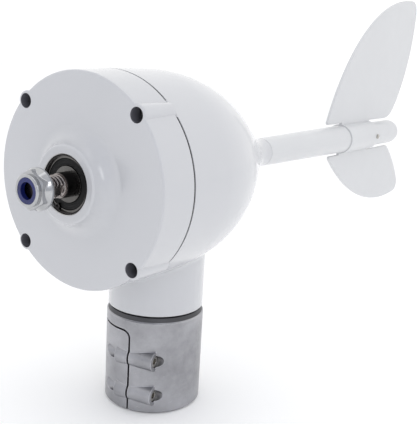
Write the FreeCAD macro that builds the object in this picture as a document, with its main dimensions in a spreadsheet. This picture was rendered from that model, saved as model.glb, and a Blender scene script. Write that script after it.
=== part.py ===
import FreeCAD, Part
import math
import os
import re
import Sketcher
from FreeCAD import Placement, Rotation, Vector

# Head of a small horizontal-axis wind turbine: a generator housing that turns on a
# pole clamp, with the rotor stud in front (-Y) and a boom with a tail fin behind (+Y).
#
# World frame: the origin is the centre of the pole clamp's lower face, Z is the yaw
# axis and the rotor axis runs along Y at rotor_height.
#
# Three drawing frames are used:
#   "world"  as above
#   "head"   the same directions, with its origin where the rotor axis crosses the yaw axis
#   "rotor"  local Z runs along the rotor axis towards the tail, so local Z is the world's Y
#   "clamp"  the world turned about Z, so that the clamp's slit faces local -Y

# ---------------------------------------------------------------- driving sizes (mm)
SIZES = [
    # clearances
    ("fit_gap", 0.05, "radial clearance between pieces that fit together"),
    ("thread_gap", 0.1, "radial clearance of a screw thread drawn plain"),
    ("turn_gap", 0.4, "clearance between pieces that turn past each other"),
    # overall
    ("rotor_height", 217, "rotor axis above the clamp's lower face"),
    # pole clamp
    ("pole_radius", 30.15, "pole that the clamp grips, 60.3 mm across"),
    ("pole_gap", 0.25, "radial clearance on the pole"),
    ("collar_radius", 44.7, "clamp collar outside"),
    ("collar_shoulder", 86.6, "height where the collar narrows"),
    ("collar_top", 90.6, "top of the collar"),
    ("collar_top_radius", 42.7, "collar outside at its top"),
    ("collar_edge", 1.8, "chamfer of the collar's lower edge"),
    ("collar_rim", 0.9, "chamfer of the collar's upper edge"),
    ("web_bottom", 79.2, "underside of the collar's web, where the pole stops"),
    ("flange_radius", 26, "spindle flange"),
    ("flange_recess", 5.2, "depth of the recess that takes the spindle flange"),
    ("lead_hole", 11, "hole for the leads through the collar's web"),
    ("slit_angle", 9, "turn of the slit from the front, degrees"),
    ("slit_width", 1.9, "width of the clamping slit"),
    ("slit_top", 76.2, "height of the level part of the slit"),
    ("slit_corner", 7, "radius of the slit's corner"),
    ("slit_end", 10, "how far past the side the level slit ends"),
    ("ear_depth", 38.6, "clamp screw's distance from the pole's axis"),
    ("ear_radius", 8.8, "clamp ear"),
    ("ear_right", 24, "length of the ear that holds the screw's head"),
    ("ear_left", 13.5, "length of the threaded ear"),
    ("ear_low", 17.9, "height of the lower clamp screw"),
    ("ear_high", 50.8, "height of the upper clamp screw"),
    ("clamp_seat", 17, "seat of the clamp screw's head, from the slit"),
    # M6 socket screws
    ("screw_radius", 3, "M6 thread"),
    ("screw_head_radius", 5, "socket head"),
    ("screw_head_height", 6, "socket head"),
    ("screw_socket", 5, "hexagon socket across flats"),
    ("socket_depth", 3, "hexagon socket"),
    ("head_hole", 5.5, "hole that clears a clamp screw's head"),
    ("shank_hole", 3.3, "hole that clears a screw's shank"),
    # housing
    ("shell_radius", 88.4, "outside of the housing at the seam"),
    ("wall", 4.2, "casting wall"),
    ("seam_place", 69.6, "middle of the seam, in front of the yaw axis"),
    ("seam_gap", 2.0, "open seam between cover and housing"),
    ("shoulder_place", 17.6, "where cylinder and cone of the shell would meet"),
    ("shoulder_arc", 166, "radius that blends cylinder and cone"),
    ("room_corner", 22, "flat across the same corner inside the housing, to each side"),
    ("cone_slope", 0.55, "fall of the cone's radius along the axis"),
    ("socket_radius", 15, "outside of the boom socket"),
    ("socket_end", 172, "rear end of the boom socket"),
    ("tail_arc", 60, "radius that blends cone and boom socket"),
    ("chamber_end", 118, "rear end of the housing's hollow"),
    ("neck_radius", 43.75, "neck above the clamp"),
    ("neck_bottom", 92.5, "lower end of the neck"),
    ("neck_arc", 7, "radius that blends neck and shell"),
    ("neck_wall", 4, "skirt of the neck"),
    ("neck_core", 32, "outside of the neck's bearing sleeve"),
    ("neck_pocket_top", 122, "top of the hollow between skirt and bearing sleeve"),
    ("web_front", 30, "front of the bulkhead, before the yaw axis"),
    ("web_back", 22, "back of the bulkhead"),
    ("hub_front", 36, "front of the rear bearing's hub"),
    ("hub_radius", 25, "rear bearing's hub"),
    ("window_circle", 48, "centres of the bulkhead's windows"),
    ("window_radius", 13, "window in the bulkhead"),
    ("pedestal_height", 148, "top of the pedestal that carries the brush holder"),
    # front cover
    ("cover_front", 105.4, "face of the cover, before the yaw axis"),
    ("face_radius", 87, "cover at its face"),
    ("face_edge", 1.6, "rounding of the cover's front edge"),
    ("front_wall", 5.4, "thickness of the cover's face"),
    ("boss_front", 119, "front of the bearing boss"),
    ("boss_radius", 30.8, "rim of the bearing boss"),
    ("boss_flare", 3.5, "how much wider the boss is at its foot"),
    ("boss_arc", 15, "radius that blends boss and face"),
    ("boss_rim", 2.2, "rounding of the boss's outer rim"),
    ("lip_wall", 2.4, "register lip of the cover"),
    ("lip_length", 5, "how far the lip reaches into the housing"),
    ("lobe_circle", 82.8, "cover screws' distance from the rotor axis"),
    ("lobe_radius", 8.2, "lobe round each cover screw"),
    ("lobe_length", 34, "length of the housing's lobes"),
    ("counterbore", 6, "hole above a cover screw's head"),
    ("head_sink", 10, "depth of a cover screw's head below the face"),
    ("cover_screw_length", 36, "cover screw's shank"),
    # generator
    ("stator_front", 84, "front of the stator stack"),
    ("stator_length", 40, "stator stack"),
    ("stator_radius", 74.2, "stator outside"),
    ("stator_bore", 50, "stator bore"),
    ("seat_wall", 3.4, "ring that holds the stator"),
    ("slot_floor", 69.8, "bottom of a stator slot"),
    ("slot_mouth", 54, "top of a stator slot's full width"),
    ("coil_inner", 55.5, "inner side of a coil"),
    ("coil_height", 12, "radial height of a coil"),
    ("coil_reach", 13.3, "half the width of a coil"),
    ("coil_window", 6.6, "half the width of a coil's window"),
    ("coil_overhang", 7, "coil beyond the stack"),
    ("air_gap", 0.8, "between magnets and stator"),
    ("magnet_thickness", 5, "magnets"),
    ("rim_thickness", 6, "rim of the rotor core"),
    ("core_web", 8, "web of the rotor core"),
    ("core_hub", 18, "hub of the rotor core"),
    # shaft
    ("stud_radius", 9, "M18 stud where the blade hub sits"),
    ("thread_radius", 8.9, "M18 stud where it is threaded for the hub nut"),
    ("thread_start", 144.0, "foot of the stud's thread, before the yaw axis"),
    ("stud_front", 151.6, "end of the stud, before the yaw axis"),
    ("shaft_front", 125, "shoulder at the foot of the stud"),
    ("flat_depth", 6.6, "the stud's flat, from its axis"),
    ("flat_angle", 21, "direction of the flat below level, degrees"),
    ("flat_start", 126.3, "where the flat runs out"),
    ("flat_runout", 6.6, "radius of the flat's run-out"),
    ("front_seat", 10, "shaft in the front bearing"),
    ("shaft_collar", 13.4, "collar behind the front bearing"),
    ("shaft_collar_length", 4, "collar behind the front bearing"),
    ("core_seat", 11, "shaft in the rotor core"),
    ("rear_seat", 8.5, "shaft in the rear bearing"),
    ("key_width", 6, "rotor key"),
    ("key_height", 6, "rotor key"),
    ("key_length", 30, "rotor key"),
    # hub nut
    ("nut_back", 144.2, "seat of the hub nut"),
    ("nut_height", 12.4, "hub nut over all"),
    ("nut_flange_radius", 16.3, "flange of the hub nut"),
    ("nut_flange", 2.0, "edge of the flange"),
    ("nut_flats", 27, "hub nut across flats"),
    ("nut_cap_radius", 12.3, "round end of the hub nut"),
    ("nut_cap", 2.8, "round end of the hub nut"),
    ("insert_radius", 9.9, "nylon ring"),
    ("insert_hole", 6.6, "nylon ring's hole"),
    ("insert_height", 4, "nylon ring"),
    # bearings: bore radius, outside radius, width
    ("front_outside", 23.5, "front bearing 20 x 47 x 14"),
    ("front_width", 14, "front bearing"),
    ("front_place", 115.8, "front bearing's front, before the yaw axis"),
    ("rear_outside", 20, "rear bearing 17 x 40 x 12"),
    ("rear_width", 12, "rear bearing"),
    ("yaw_seat", 15, "yaw bearings 30 x 55 x 13"),
    ("yaw_outside", 27.5, "yaw bearings"),
    ("yaw_width", 13, "yaw bearings"),
    ("yaw_low", 96.5, "underside of the lower yaw bearing"),
    ("yaw_high", 116, "underside of the upper yaw bearing"),
    ("seal_radius", 20.4, "outside of the front bearing's seals"),
    ("seal_depth", 1.7, "recess of the seals"),
    ("ring_share", 0.3, "share of a bearing's depth that each ring takes"),
    ("circlip_thickness", 1.75, "front circlip"),
    ("circlip_depth", 1.3, "depth of the circlip's groove"),
    ("circlip_width", 2.6, "radial width of the circlip"),
    ("circlip_angle", 40, "turn of the circlip's gap from straight down, degrees"),
    ("preload_thickness", 0.8, "washer that preloads the rear bearing"),
    ("neck_clip_thickness", 1.8, "circlip under the lower yaw bearing"),
    # spindle and slip rings
    ("spindle_bore", 9, "hollow of the yaw spindle"),
    ("spindle_flange", 6.2, "thickness of the spindle's flange"),
    ("spindle_shoulder", 16.8, "shoulder under the lower yaw bearing"),
    ("spindle_screw_circle", 21.3, "spindle screws' distance from the axis"),
    ("spindle_screw_radius", 2.5, "spindle screws, M5"),
    ("spindle_head_radius", 4.2, "heads of the spindle screws"),
    ("spindle_head_height", 2.8, "heads of the spindle screws"),
    ("sleeve_seat", 12, "spindle inside the slip-ring sleeve"),
    ("spindle_top", 178, "top of the spindle"),
    ("locknut_radius", 22.4, "lock nut of the yaw bearings"),
    ("locknut_height", 7, "lock nut of the yaw bearings"),
    ("sleeve_bottom", 140, "underside of the slip-ring sleeve"),
    ("sleeve_core", 15, "slip-ring sleeve under the rings"),
    ("sleeve_radius", 17, "slip-ring sleeve between the rings"),
    ("slip_ring_radius", 18, "slip rings"),
    ("slip_ring_width", 5, "slip rings"),
    ("slip_ring_low", 155, "middle of the lowest slip ring"),
    ("slip_ring_pitch", 8.5, "from one slip ring to the next"),
    # brushes
    ("holder_front", 22, "front of the brush holder, behind the yaw axis"),
    ("holder_back", 42, "back of the brush holder"),
    ("holder_half", 11, "half the width of the brush holder"),
    ("holder_top", 182, "top of the brush holder"),
    ("brush_half", 2.5, "half the width of a brush"),
    ("brush_back", 34, "rear end of the brushes"),
    ("cap_thickness", 2, "cap of the brush holder"),
    ("lead_radius", 1.25, "phase lead"),
    ("lead_bend", 9, "bend of a phase lead"),
    ("lead_height", 167.5, "height of the phase leads"),
    ("lead_side", 24, "first phase lead's distance from the middle"),
    ("lead_pitch", 4, "between phase leads in the bulkhead's window"),
    ("terminal_place", 27, "first terminal, behind the yaw axis"),
    ("terminal_pitch", 5.5, "from one terminal to the next"),
    # boom and fin
    ("spigot_radius", 12, "boom inside its socket"),
    ("spigot_start", 122, "front end of the boom"),
    ("boom_front_radius", 15.05, "boom behind its socket"),
    ("boom_rear_radius", 17.6, "boom in front of the fin's hub"),
    ("boom_seat", 16.3, "boom inside the fin's hub and behind it"),
    ("boom_wall", 2.6, "boom tube"),
    ("boom_end", 530, "rear end of the tube"),
    ("cap_length", 15, "rounded end cap beyond the tube"),
    ("fin_hub_front", 370, "front of the fin's hub"),
    ("fin_hub_back", 459, "back of the fin's hub"),
    ("fin_hub_radius", 19.2, "fin's hub"),
    ("fin_thickness", 3.6, "fin plate"),
    ("fin_edge", 1.1, "rounding of the fin's edges"),
    ("fin_root", 20.6, "wings' straight edge, from the boom's axis"),
    ("upper_front", 328, "front tip of the upper wing"),
    ("upper_tip_back", 598.5, "rear corner of the upper wing"),
    ("upper_tip", 188.6, "height of that corner above the boom's axis"),
    ("upper_heel", 531.8, "rear end of the upper wing's root"),
    ("upper_lead_arc", 277, "leading edge of the upper wing"),
    ("upper_trail_arc", 205, "trailing edge of the upper wing"),
    ("upper_tip_round", 18, "rounding of that corner"),
    ("upper_heel_round", 40, "rounding of the heel"),
    ("lower_front", 337.6, "front tip of the lower wing"),
    ("lower_tip_back", 601, "rear corner of the lower wing"),
    ("lower_tip", 92.5, "depth of that corner below the boom's axis"),
    ("lower_heel", 534.5, "rear end of the lower wing's root"),
    ("lower_lead_arc", 302, "leading edge of the lower wing"),
    ("lower_trail_arc", 204, "trailing edge of the lower wing"),
    ("lower_tip_round", 12, "rounding of that corner"),
    ("lower_heel_round", 14, "rounding of the heel"),
    ("fin_front_round", 2.5, "rounding of the wings' front tips"),
    ("fin_screw_place", 452, "screw that fixes the fin's hub"),
]
S = {alias: value for alias, value, _ in SIZES}

doc = FreeCAD.newDocument("turbine_head")
sheet = doc.addObject("Spreadsheet::Sheet", "Sizes")
for row, (alias, value, note) in enumerate(SIZES, start=1):
    sheet.set(f"A{row}", note)
    sheet.set(f"B{row}", str(value))
    sheet.setAlias(f"B{row}", alias)
doc.recompute()

subparts = []


# ---------------------------------------------------------------- drawing helpers
def bound(text):
    """An expression in the named sizes, as the document writes it."""
    return re.sub(r"[a-z][a-z_]*", lambda word: f"Sizes.{word[0]}" if word[0] in S else word[0], str(text))


def new_body(name, frame="world", pieces=1):
    """An empty sub-part in one of the drawing frames; a group has more than one piece."""
    body = doc.addObject("PartDesign::Body", name)
    body.Label = name
    body.AllowCompound = pieces > 1
    if frame == "rotor":
        body.Placement = Placement(Vector(), Rotation(Vector(1, 0, 0), -90))
    if frame in ("rotor", "head"):
        body.setExpression("Placement.Base.z", bound("rotor_height"))
    if frame == "clamp":
        body.Placement = Placement(Vector(), Rotation(Vector(0, 0, 1), 1))
        body.setExpression("Placement.Rotation.Angle", bound("slit_angle"))
    subparts.append((body, pieces))
    return body


def origin_item(body, role):
    return next(item for item in body.Origin.OriginFeatures if item.Role == role)


def new_sketch(body, name, plane, lift="0", turn=None):
    """A sketch on one of the body's own planes, raised along its normal and turned about it."""
    sketch = body.newObject("Sketcher::SketchObject", name)
    sketch.AttachmentSupport = [(origin_item(body, plane), "")]
    sketch.MapMode = "FlatFace"
    if turn is not None:
        sketch.AttachmentOffset = Placement(Vector(), Rotation(Vector(0, 0, 1), 1))
        sketch.setExpression("AttachmentOffset.Rotation.Angle", bound(turn))
    sketch.setExpression("AttachmentOffset.Base.z", bound(lift))
    return sketch


def place_point(sketch, curve, point, across, up):
    """Hold one point of a curve at two expressions."""
    spot = sketch.getPoint(curve, point)
    for kind, text, now in (("DistanceX", across, spot.x), ("DistanceY", up, spot.y)):
        number = sketch.addConstraint(Sketcher.Constraint(kind, -1, 1, curve, point, now))
        sketch.setExpression(f"Constraints[{number}]", bound(text))


def set_radius(sketch, curve, radius):
    number = sketch.addConstraint(Sketcher.Constraint("Radius", curve, sketch.Geometry[curve].Radius))
    sketch.setExpression(f"Constraints[{number}]", bound(radius))


def polygon(sketch, corners):
    """A closed outline through corners that are pairs of expressions."""
    count = len(corners)
    first = sketch.GeometryCount
    spots = [Vector(math.cos(6.28 * k / count), math.sin(6.28 * k / count), 0) for k in range(count + 1)]
    for k in range(count):
        sketch.addGeometry(Part.LineSegment(spots[k], spots[k + 1]))
    for k, (across, up) in enumerate(corners):
        sketch.addConstraint(Sketcher.Constraint("Coincident", first + k, 2, first + (k + 1) % count, 1))
        place_point(sketch, first + k, 1, across, up)


def circle(sketch, across, up, radius):
    curve = sketch.addGeometry(Part.Circle(Vector(1, 1, 0), Vector(0, 0, 1), 1))
    place_point(sketch, curve, 3, across, up)
    set_radius(sketch, curve, radius)


def rectangle(sketch, left, low, right, high):
    polygon(sketch, [(left, low), (right, low), (right, high), (left, high)])


def hexagon(sketch, across, up, flats):
    """A hexagon given by its width across flats."""
    corners = []
    for k in range(6):
        corners.append((f"{across} + {flats} / sqrt(3) * cos({60 * k})",
                        f"{up} + {flats} / sqrt(3) * sin({60 * k})"))
    polygon(sketch, corners)


def around(count, radius, start=0.0):
    """Centres spread evenly on a circle, as pairs of expressions."""
    angles = [start + 360.0 / count * k for k in range(count)]
    return [(f"{radius} * cos({angle})", f"{radius} * sin({angle})") for angle in angles]


def finish(body, feature):
    body.Tip = feature
    return feature


def spin(body, name, corners, plane="XZ_Plane", axis="V_Axis", cut=False):
    """A full turn of an outline, added or cut. Outlines are (radius, place) about V_Axis."""
    sketch = new_sketch(body, name + "_outline", plane)
    polygon(sketch, corners)
    kind = "PartDesign::Groove" if cut else "PartDesign::Revolution"
    feature = body.newObject(kind, name)
    feature.Profile = sketch
    feature.ReferenceAxis = (sketch, [axis])
    feature.Angle = 360
    return finish(body, feature)


def extrude(body, name, draw, length, plane="XY_Plane", lift="0", turn=None, cut=False, back=False):
    """Pad or pocket of what draw puts on the sketch, along the plane's normal unless back."""
    sketch = new_sketch(body, name + "_outline", plane, lift, turn)
    draw(sketch)
    feature = body.newObject("PartDesign::Pocket" if cut else "PartDesign::Pad", name)
    feature.Profile = sketch
    feature.setExpression("Length", bound(length))
    feature.Reversed = back != cut
    return finish(body, feature)


def repeat(body, name, features, count, axis="Z_Axis"):
    pattern = body.newObject("PartDesign::PolarPattern", name)
    pattern.Originals = features
    pattern.Axis = (origin_item(body, axis), [""])
    pattern.Angle = 360
    pattern.Occurrences = count
    return finish(body, pattern)


def dress(body, name, size, chosen, kind="Fillet"):
    """Round or chamfer the edges of the last feature that a test chooses."""
    doc.recompute()
    base = body.Tip
    edges = [f"Edge{k + 1}" for k, edge in enumerate(base.Shape.Edges) if chosen(edge)]
    if not edges:
        raise RuntimeError(f"{body.Label}: no edge for {name}")
    feature = body.newObject(f"PartDesign::{kind}", name)
    feature.Base = (base, edges)
    feature.setExpression("Radius" if kind == "Fillet" else "Size", bound(size))
    return finish(body, feature)


def ring_edge(radius, place, axis="z"):
    """Test for a circle of this radius round an axis, at this place along it."""
    def chosen(edge):
        curve = edge.Curve
        if not isinstance(curve, Part.Circle):
            return False
        centre = curve.Center
        off = math.hypot(centre.x, centre.y) if axis == "z" else math.hypot(centre.x, centre.z)
        along = centre.z if axis == "z" else centre.y
        return abs(curve.Radius - radius) < 0.02 and abs(along - place) < 0.02 and off < 0.02
    return chosen


# ---------------------------------------------------------------- pole clamp and yaw spindle
def clamp_collar():
    """Split collar: outer body, two pairs of ears, pole bore, screw holes and the bent slit."""
    body = new_body("clamp_collar", "clamp")
    spin(body, "collar", [
        ("0", "0"),
        ("collar_radius - collar_edge", "0"),
        ("collar_radius", "collar_edge"),
        ("collar_radius", "collar_shoulder - collar_rim"),
        ("collar_radius - collar_rim", "collar_shoulder"),
        ("collar_top_radius", "collar_top"),
        ("0", "collar_top"),
    ])
    ears = [("-ear_depth", "ear_low"), ("-ear_depth", "ear_high")]

    def on_ears(radius):
        def draw(sketch):
            for across, up in ears:
                circle(sketch, across, up, radius)
        return draw

    extrude(body, "ears", on_ears("ear_radius"), "ear_left + ear_right", "YZ_Plane", "-ear_left")
    spin(body, "bore", [
        ("0", "-1"),
        ("pole_radius + pole_gap", "-1"),
        ("pole_radius + pole_gap", "web_bottom"),
        ("lead_hole", "web_bottom"),
        ("lead_hole", "collar_top - flange_recess"),
        ("flange_radius + fit_gap", "collar_top - flange_recess"),
        ("flange_radius + fit_gap", "collar_top + 1"),
        ("0", "collar_top + 1"),
    ], cut=True)
    extrude(body, "head_holes", on_ears("head_hole"), "collar_radius", "YZ_Plane", "clamp_seat", cut=True)
    extrude(body, "far_holes", on_ears("head_hole"), "collar_radius", "YZ_Plane", "-ear_left",
            cut=True, back=True)
    extrude(body, "shank_holes", on_ears("shank_hole"), "clamp_seat", "YZ_Plane", cut=True)
    extrude(body, "thread_holes", on_ears("screw_radius + fit_gap"), "ear_left", "YZ_Plane",
            cut=True, back=True)
    extrude(body, "spindle_screw_holes", lambda sketch: [
        circle(sketch, across, up, "spindle_screw_radius + fit_gap")
        for across, up in around(4, "spindle_screw_circle", 45)],
        "collar_top", lift="web_bottom - 1", cut=True)
    extrude(body, "upright_slit", lambda sketch: rectangle(
        sketch, "-slit_width / 2", "-collar_radius - ear_radius", "slit_width / 2", "0"),
        "slit_top - slit_corner + 1", lift="-1", cut=True)
    extrude(body, "level_slit", lambda sketch: polygon(sketch, [
        ("-slit_corner", "-collar_radius - 1"),
        ("-slit_corner", "0"),
        ("-collar_radius - 1", "slit_end"),
        ("-collar_radius - 1", "-collar_radius - 1")]),
        "slit_width", lift="slit_top - slit_width / 2", cut=True)
    extrude(body, "slit_corner", slit_bend, "collar_radius + 1", "XZ_Plane", cut=True)
    return body


def slit_bend(sketch):
    """Quarter turn of the slit between its upright and its level part."""
    centre = ("-slit_corner", "slit_top - slit_corner")
    middle = Vector(-S["slit_corner"], S["slit_top"] - S["slit_corner"], 0)
    sizes = [S["slit_corner"] - S["slit_width"] / 2, S["slit_corner"] + S["slit_width"] / 2]
    names = ["slit_corner - slit_width / 2", "slit_corner + slit_width / 2"]
    ends = [Vector(1, 0, 0), Vector(0, 1, 0)]
    for size in sizes:
        sketch.addGeometry(Part.ArcOfCircle(Part.Circle(middle, Vector(0, 0, 1), size), 0, math.pi / 2))
    for end in ends:
        sketch.addGeometry(Part.LineSegment(middle + end * sizes[0], middle + end * sizes[1]))
    for point, line in ((1, 2), (2, 3)):
        sketch.addConstraint(Sketcher.Constraint("Coincident", line, 1, 0, point))
        sketch.addConstraint(Sketcher.Constraint("Coincident", line, 2, 1, point))
    sketch.addConstraint(Sketcher.Constraint("Horizontal", 2))
    sketch.addConstraint(Sketcher.Constraint("Vertical", 3))
    for curve in (0, 1):
        place_point(sketch, curve, 3, *centre)
        set_radius(sketch, curve, names[curve])
    number = sketch.addConstraint(Sketcher.Constraint("DistanceY", -1, 1, 0, 1, middle.y))
    sketch.setExpression(f"Constraints[{number}]", bound(centre[1]))
    number = sketch.addConstraint(Sketcher.Constraint("DistanceX", -1, 1, 0, 2, middle.x))
    sketch.setExpression(f"Constraints[{number}]", bound(centre[0]))


def socket_screws(name, frame, plane, centres, seat, length, forward):
    """Socket-head screws side by side: head, shank and hexagon socket.

    seat is where the heads sit along the plane's normal; forward means that the heads
    stand on the normal's side of it."""
    body = new_body(name, frame, pieces=len(centres))
    tip = f"{seat} - ({length})" if forward else seat

    def circles(radius):
        def draw(sketch):
            for across, up in centres:
                circle(sketch, across, up, radius)
        return draw

    def sockets(sketch):
        for across, up in centres:
            hexagon(sketch, across, up, "screw_socket")

    extrude(body, name + "_shank", circles("screw_radius"), length, plane, tip)
    head = seat if forward else f"{seat} - screw_head_height"
    extrude(body, name + "_head", circles("screw_head_radius"), "screw_head_height", plane, head)
    if forward:
        extrude(body, name + "_socket", sockets, "socket_depth", plane, f"{seat} + screw_head_height",
                cut=True, back=True)
    else:
        extrude(body, name + "_socket", sockets, "socket_depth", plane, head, cut=True)
    return body


def spindle():
    """Hollow spindle: flange, shoulder, bearing journal and slip-ring seat."""
    body = new_body("yaw_spindle", "clamp")
    spin(body, "spindle", [
        ("spindle_bore", "collar_top - flange_recess"),
        ("flange_radius", "collar_top - flange_recess"),
        ("flange_radius", "collar_top - flange_recess + spindle_flange"),
        ("spindle_shoulder", "collar_top - flange_recess + spindle_flange"),
        ("spindle_shoulder", "yaw_low"),
        ("yaw_seat", "yaw_low"),
        ("yaw_seat", "yaw_high + yaw_width + locknut_height + 1"),
        ("sleeve_seat", "sleeve_bottom"),
        ("sleeve_seat", "spindle_top"),
        ("spindle_bore", "spindle_top"),
    ])
    screws = around(4, "spindle_screw_circle", 45)
    top = "collar_top - flange_recess + spindle_flange"
    extrude(body, "screw_holes", lambda sketch: [
        circle(sketch, across, up, "spindle_screw_radius + fit_gap") for across, up in screws],
        "spindle_flange", lift=top, cut=True, back=True)
    extrude(body, "head_holes", lambda sketch: [
        circle(sketch, across, up, "spindle_head_radius + fit_gap") for across, up in screws],
        "spindle_head_height + fit_gap", lift=top, cut=True, back=True)
    return body


def spindle_screws():
    """Flush screws that hold the spindle's flange down on the collar's web."""
    body = new_body("spindle_screws", "clamp", pieces=4)
    top = "collar_top - flange_recess + spindle_flange"
    centres = around(4, "spindle_screw_circle", 45)

    def circles(radius):
        def draw(sketch):
            for across, up in centres:
                circle(sketch, across, up, radius)
        return draw

    extrude(body, "shanks", circles("spindle_screw_radius"), f"{top} - web_bottom", lift="web_bottom")
    extrude(body, "heads", circles("spindle_head_radius"), "spindle_head_height", lift=top, back=True)
    return body


def washer(name, inner, outer, low, high, frame="world", pieces=1):
    """A plain ring between two places on its axis."""
    body = new_body(name, frame, pieces)
    spin(body, name + "_ring", [(inner, low), (outer, low), (outer, high), (inner, high)])
    return body


def rings(name, spans, frame, inner, outer):
    """Several plain rings of one section in one sub-part."""
    body = new_body(name, frame, pieces=len(spans))
    sketch = new_sketch(body, name + "_outline", "XZ_Plane")
    for low, high in spans:
        rectangle(sketch, inner, low, outer, high)
    feature = body.newObject("PartDesign::Revolution", name + "_rings")
    feature.Profile = sketch
    feature.ReferenceAxis = (sketch, ["V_Axis"])
    feature.Angle = 360
    finish(body, feature)
    return body


# ---------------------------------------------------------------- ball bearings
def race(body, name, middle, place, radius):
    """Cut a ball track: a circle swept round the bearing's axis."""
    sketch = new_sketch(body, name + "_track", "XZ_Plane")
    circle(sketch, middle, place, radius)
    feature = body.newObject("PartDesign::Groove", name)
    feature.Profile = sketch
    feature.ReferenceAxis = (sketch, ["V_Axis"])
    feature.Angle = 360
    finish(body, feature)


def bearing_rings(prefix, frame, bore, outside, width, places, inner_name, outer_name):
    """Inner and outer rings of the bearings at the given places, with their ball tracks."""
    depth = f"({outside} - {bore})"
    middle = f"({outside} + {bore}) / 2"
    ball = f"{depth} * ring_share"
    inner = new_body(inner_name, frame, pieces=len(places))
    outer = new_body(outer_name, frame, pieces=len(places))
    for body, near, far in ((inner, f"{bore} + fit_gap / 2", f"{bore} + {depth} * ring_share + 0.2"),
                            (outer, f"{outside} - {depth} * ring_share", outside)):
        sketch = new_sketch(body, prefix + "_section", "XZ_Plane")
        for place in places:
            rectangle(sketch, near, place, far, f"{place} + {width}")
        feature = body.newObject("PartDesign::Revolution", prefix + "_body")
        feature.Profile = sketch
        feature.ReferenceAxis = (sketch, ["V_Axis"])
        feature.Angle = 360
        finish(body, feature)
        for k, place in enumerate(places):
            race(body, f"{prefix}_track_{k + 1}", middle, f"{place} + {width} / 2", f"{ball} + fit_gap")
    return inner, outer


def balls(name, frame, sets):
    """Balls between the rings. Each set is bore, outside, width, place and count."""
    total = sum(entry[4] for entry in sets)
    body = new_body(name, frame, pieces=total)
    for number, (bore, outside, width, place, count) in enumerate(sets):
        middle = f"({outside} + {bore}) / 2"
        radius = f"({outside} - {bore}) * ring_share"
        ball = body.newObject("PartDesign::AdditiveSphere", f"{name}_{number + 1}")
        ball.AttachmentSupport = [(origin_item(body, "XY_Plane"), "")]
        ball.MapMode = "FlatFace"
        ball.setExpression("Radius", bound(radius))
        ball.setExpression("AttachmentOffset.Base.x", bound(middle))
        ball.setExpression("AttachmentOffset.Base.z", bound(f"{place} + {width} / 2"))
        body.Tip = ball
        repeat(body, f"{name}_ring_{number + 1}", [ball], count)
    return body


FRONT_BEARING = ("front_seat", "front_outside", "front_width", "-front_place")
REAR_BEARING = ("rear_seat", "rear_outside", "rear_width", "-hub_front")


def bearings():
    """Front, rear and yaw bearings; the front one also shows its seals."""
    _, outer = bearing_rings("front", "rotor", *FRONT_BEARING[:3], [FRONT_BEARING[3]],
                             "front_bearing_inner_ring", "front_bearing_outer_ring")
    near = "front_seat + (front_outside - front_seat) * ring_share + 0.2 + turn_gap"
    for name, low in (("near_recess", "-front_place - 0.1"), ("far_recess", "-front_place + front_width - seal_depth")):
        spin(outer, name, [
            ("front_seat", low), ("seal_radius + fit_gap", low),
            ("seal_radius + fit_gap", f"{low} + seal_depth + 0.1"), ("front_seat", f"{low} + seal_depth + 0.1"),
        ], cut=True)
    rings("front_bearing_seals", [
        ("-front_place + 0.4", "-front_place + seal_depth"),
        ("-front_place + front_width - seal_depth", "-front_place + front_width - 0.4")],
        "rotor", near, "seal_radius")
    bearing_rings("rear", "rotor", *REAR_BEARING[:3], [REAR_BEARING[3]],
                  "rear_bearing_inner_ring", "rear_bearing_outer_ring")
    bearing_rings("yaw", "world", "yaw_seat", "yaw_outside", "yaw_width", ["yaw_low", "yaw_high"],
                  "yaw_bearing_inner_rings", "yaw_bearing_outer_rings")
    balls("rotor_bearing_balls", "rotor", [(*FRONT_BEARING, 8), (*REAR_BEARING, 8)])
    balls("yaw_bearing_balls", "world", [
        ("yaw_seat", "yaw_outside", "yaw_width", "yaw_low", 11),
        ("yaw_seat", "yaw_outside", "yaw_width", "yaw_high", 11)])


# ---------------------------------------------------------------- housing and cover
def lobe_circles(radius):
    def draw(sketch):
        for across, up in around(4, "lobe_circle", 45):
            circle(sketch, across, up, radius)
    return draw


def lobe_blocks(sketch, margin="0"):
    """Blocks that carry the cover screws' threads, up to the shell's outer surface."""
    half = f"(lobe_radius + {margin})"
    near = "(stator_radius + seat_wall - 1)"
    far = "(sqrt(shell_radius * shell_radius - lobe_radius * lobe_radius) - fit_gap)"
    for angle in (45, 135, 225, 315):
        along = (f"cos({angle})", f"sin({angle})")
        corners = []
        for reach, side in ((near, "-1"), (far, "-1"), (far, "1"), (near, "1")):
            corners.append((f"{reach} * {along[0]} - {half} * ({side}) * {along[1]}",
                            f"{reach} * {along[1]} + {half} * ({side}) * {along[0]}"))
        polygon(sketch, corners)


CONE_END = "shoulder_place + (shell_radius - socket_radius) / cone_slope"
INNER_SHOULDER = "shoulder_place - wall * (sqrt(1 + cone_slope * cone_slope) - 1) / cone_slope"


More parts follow.
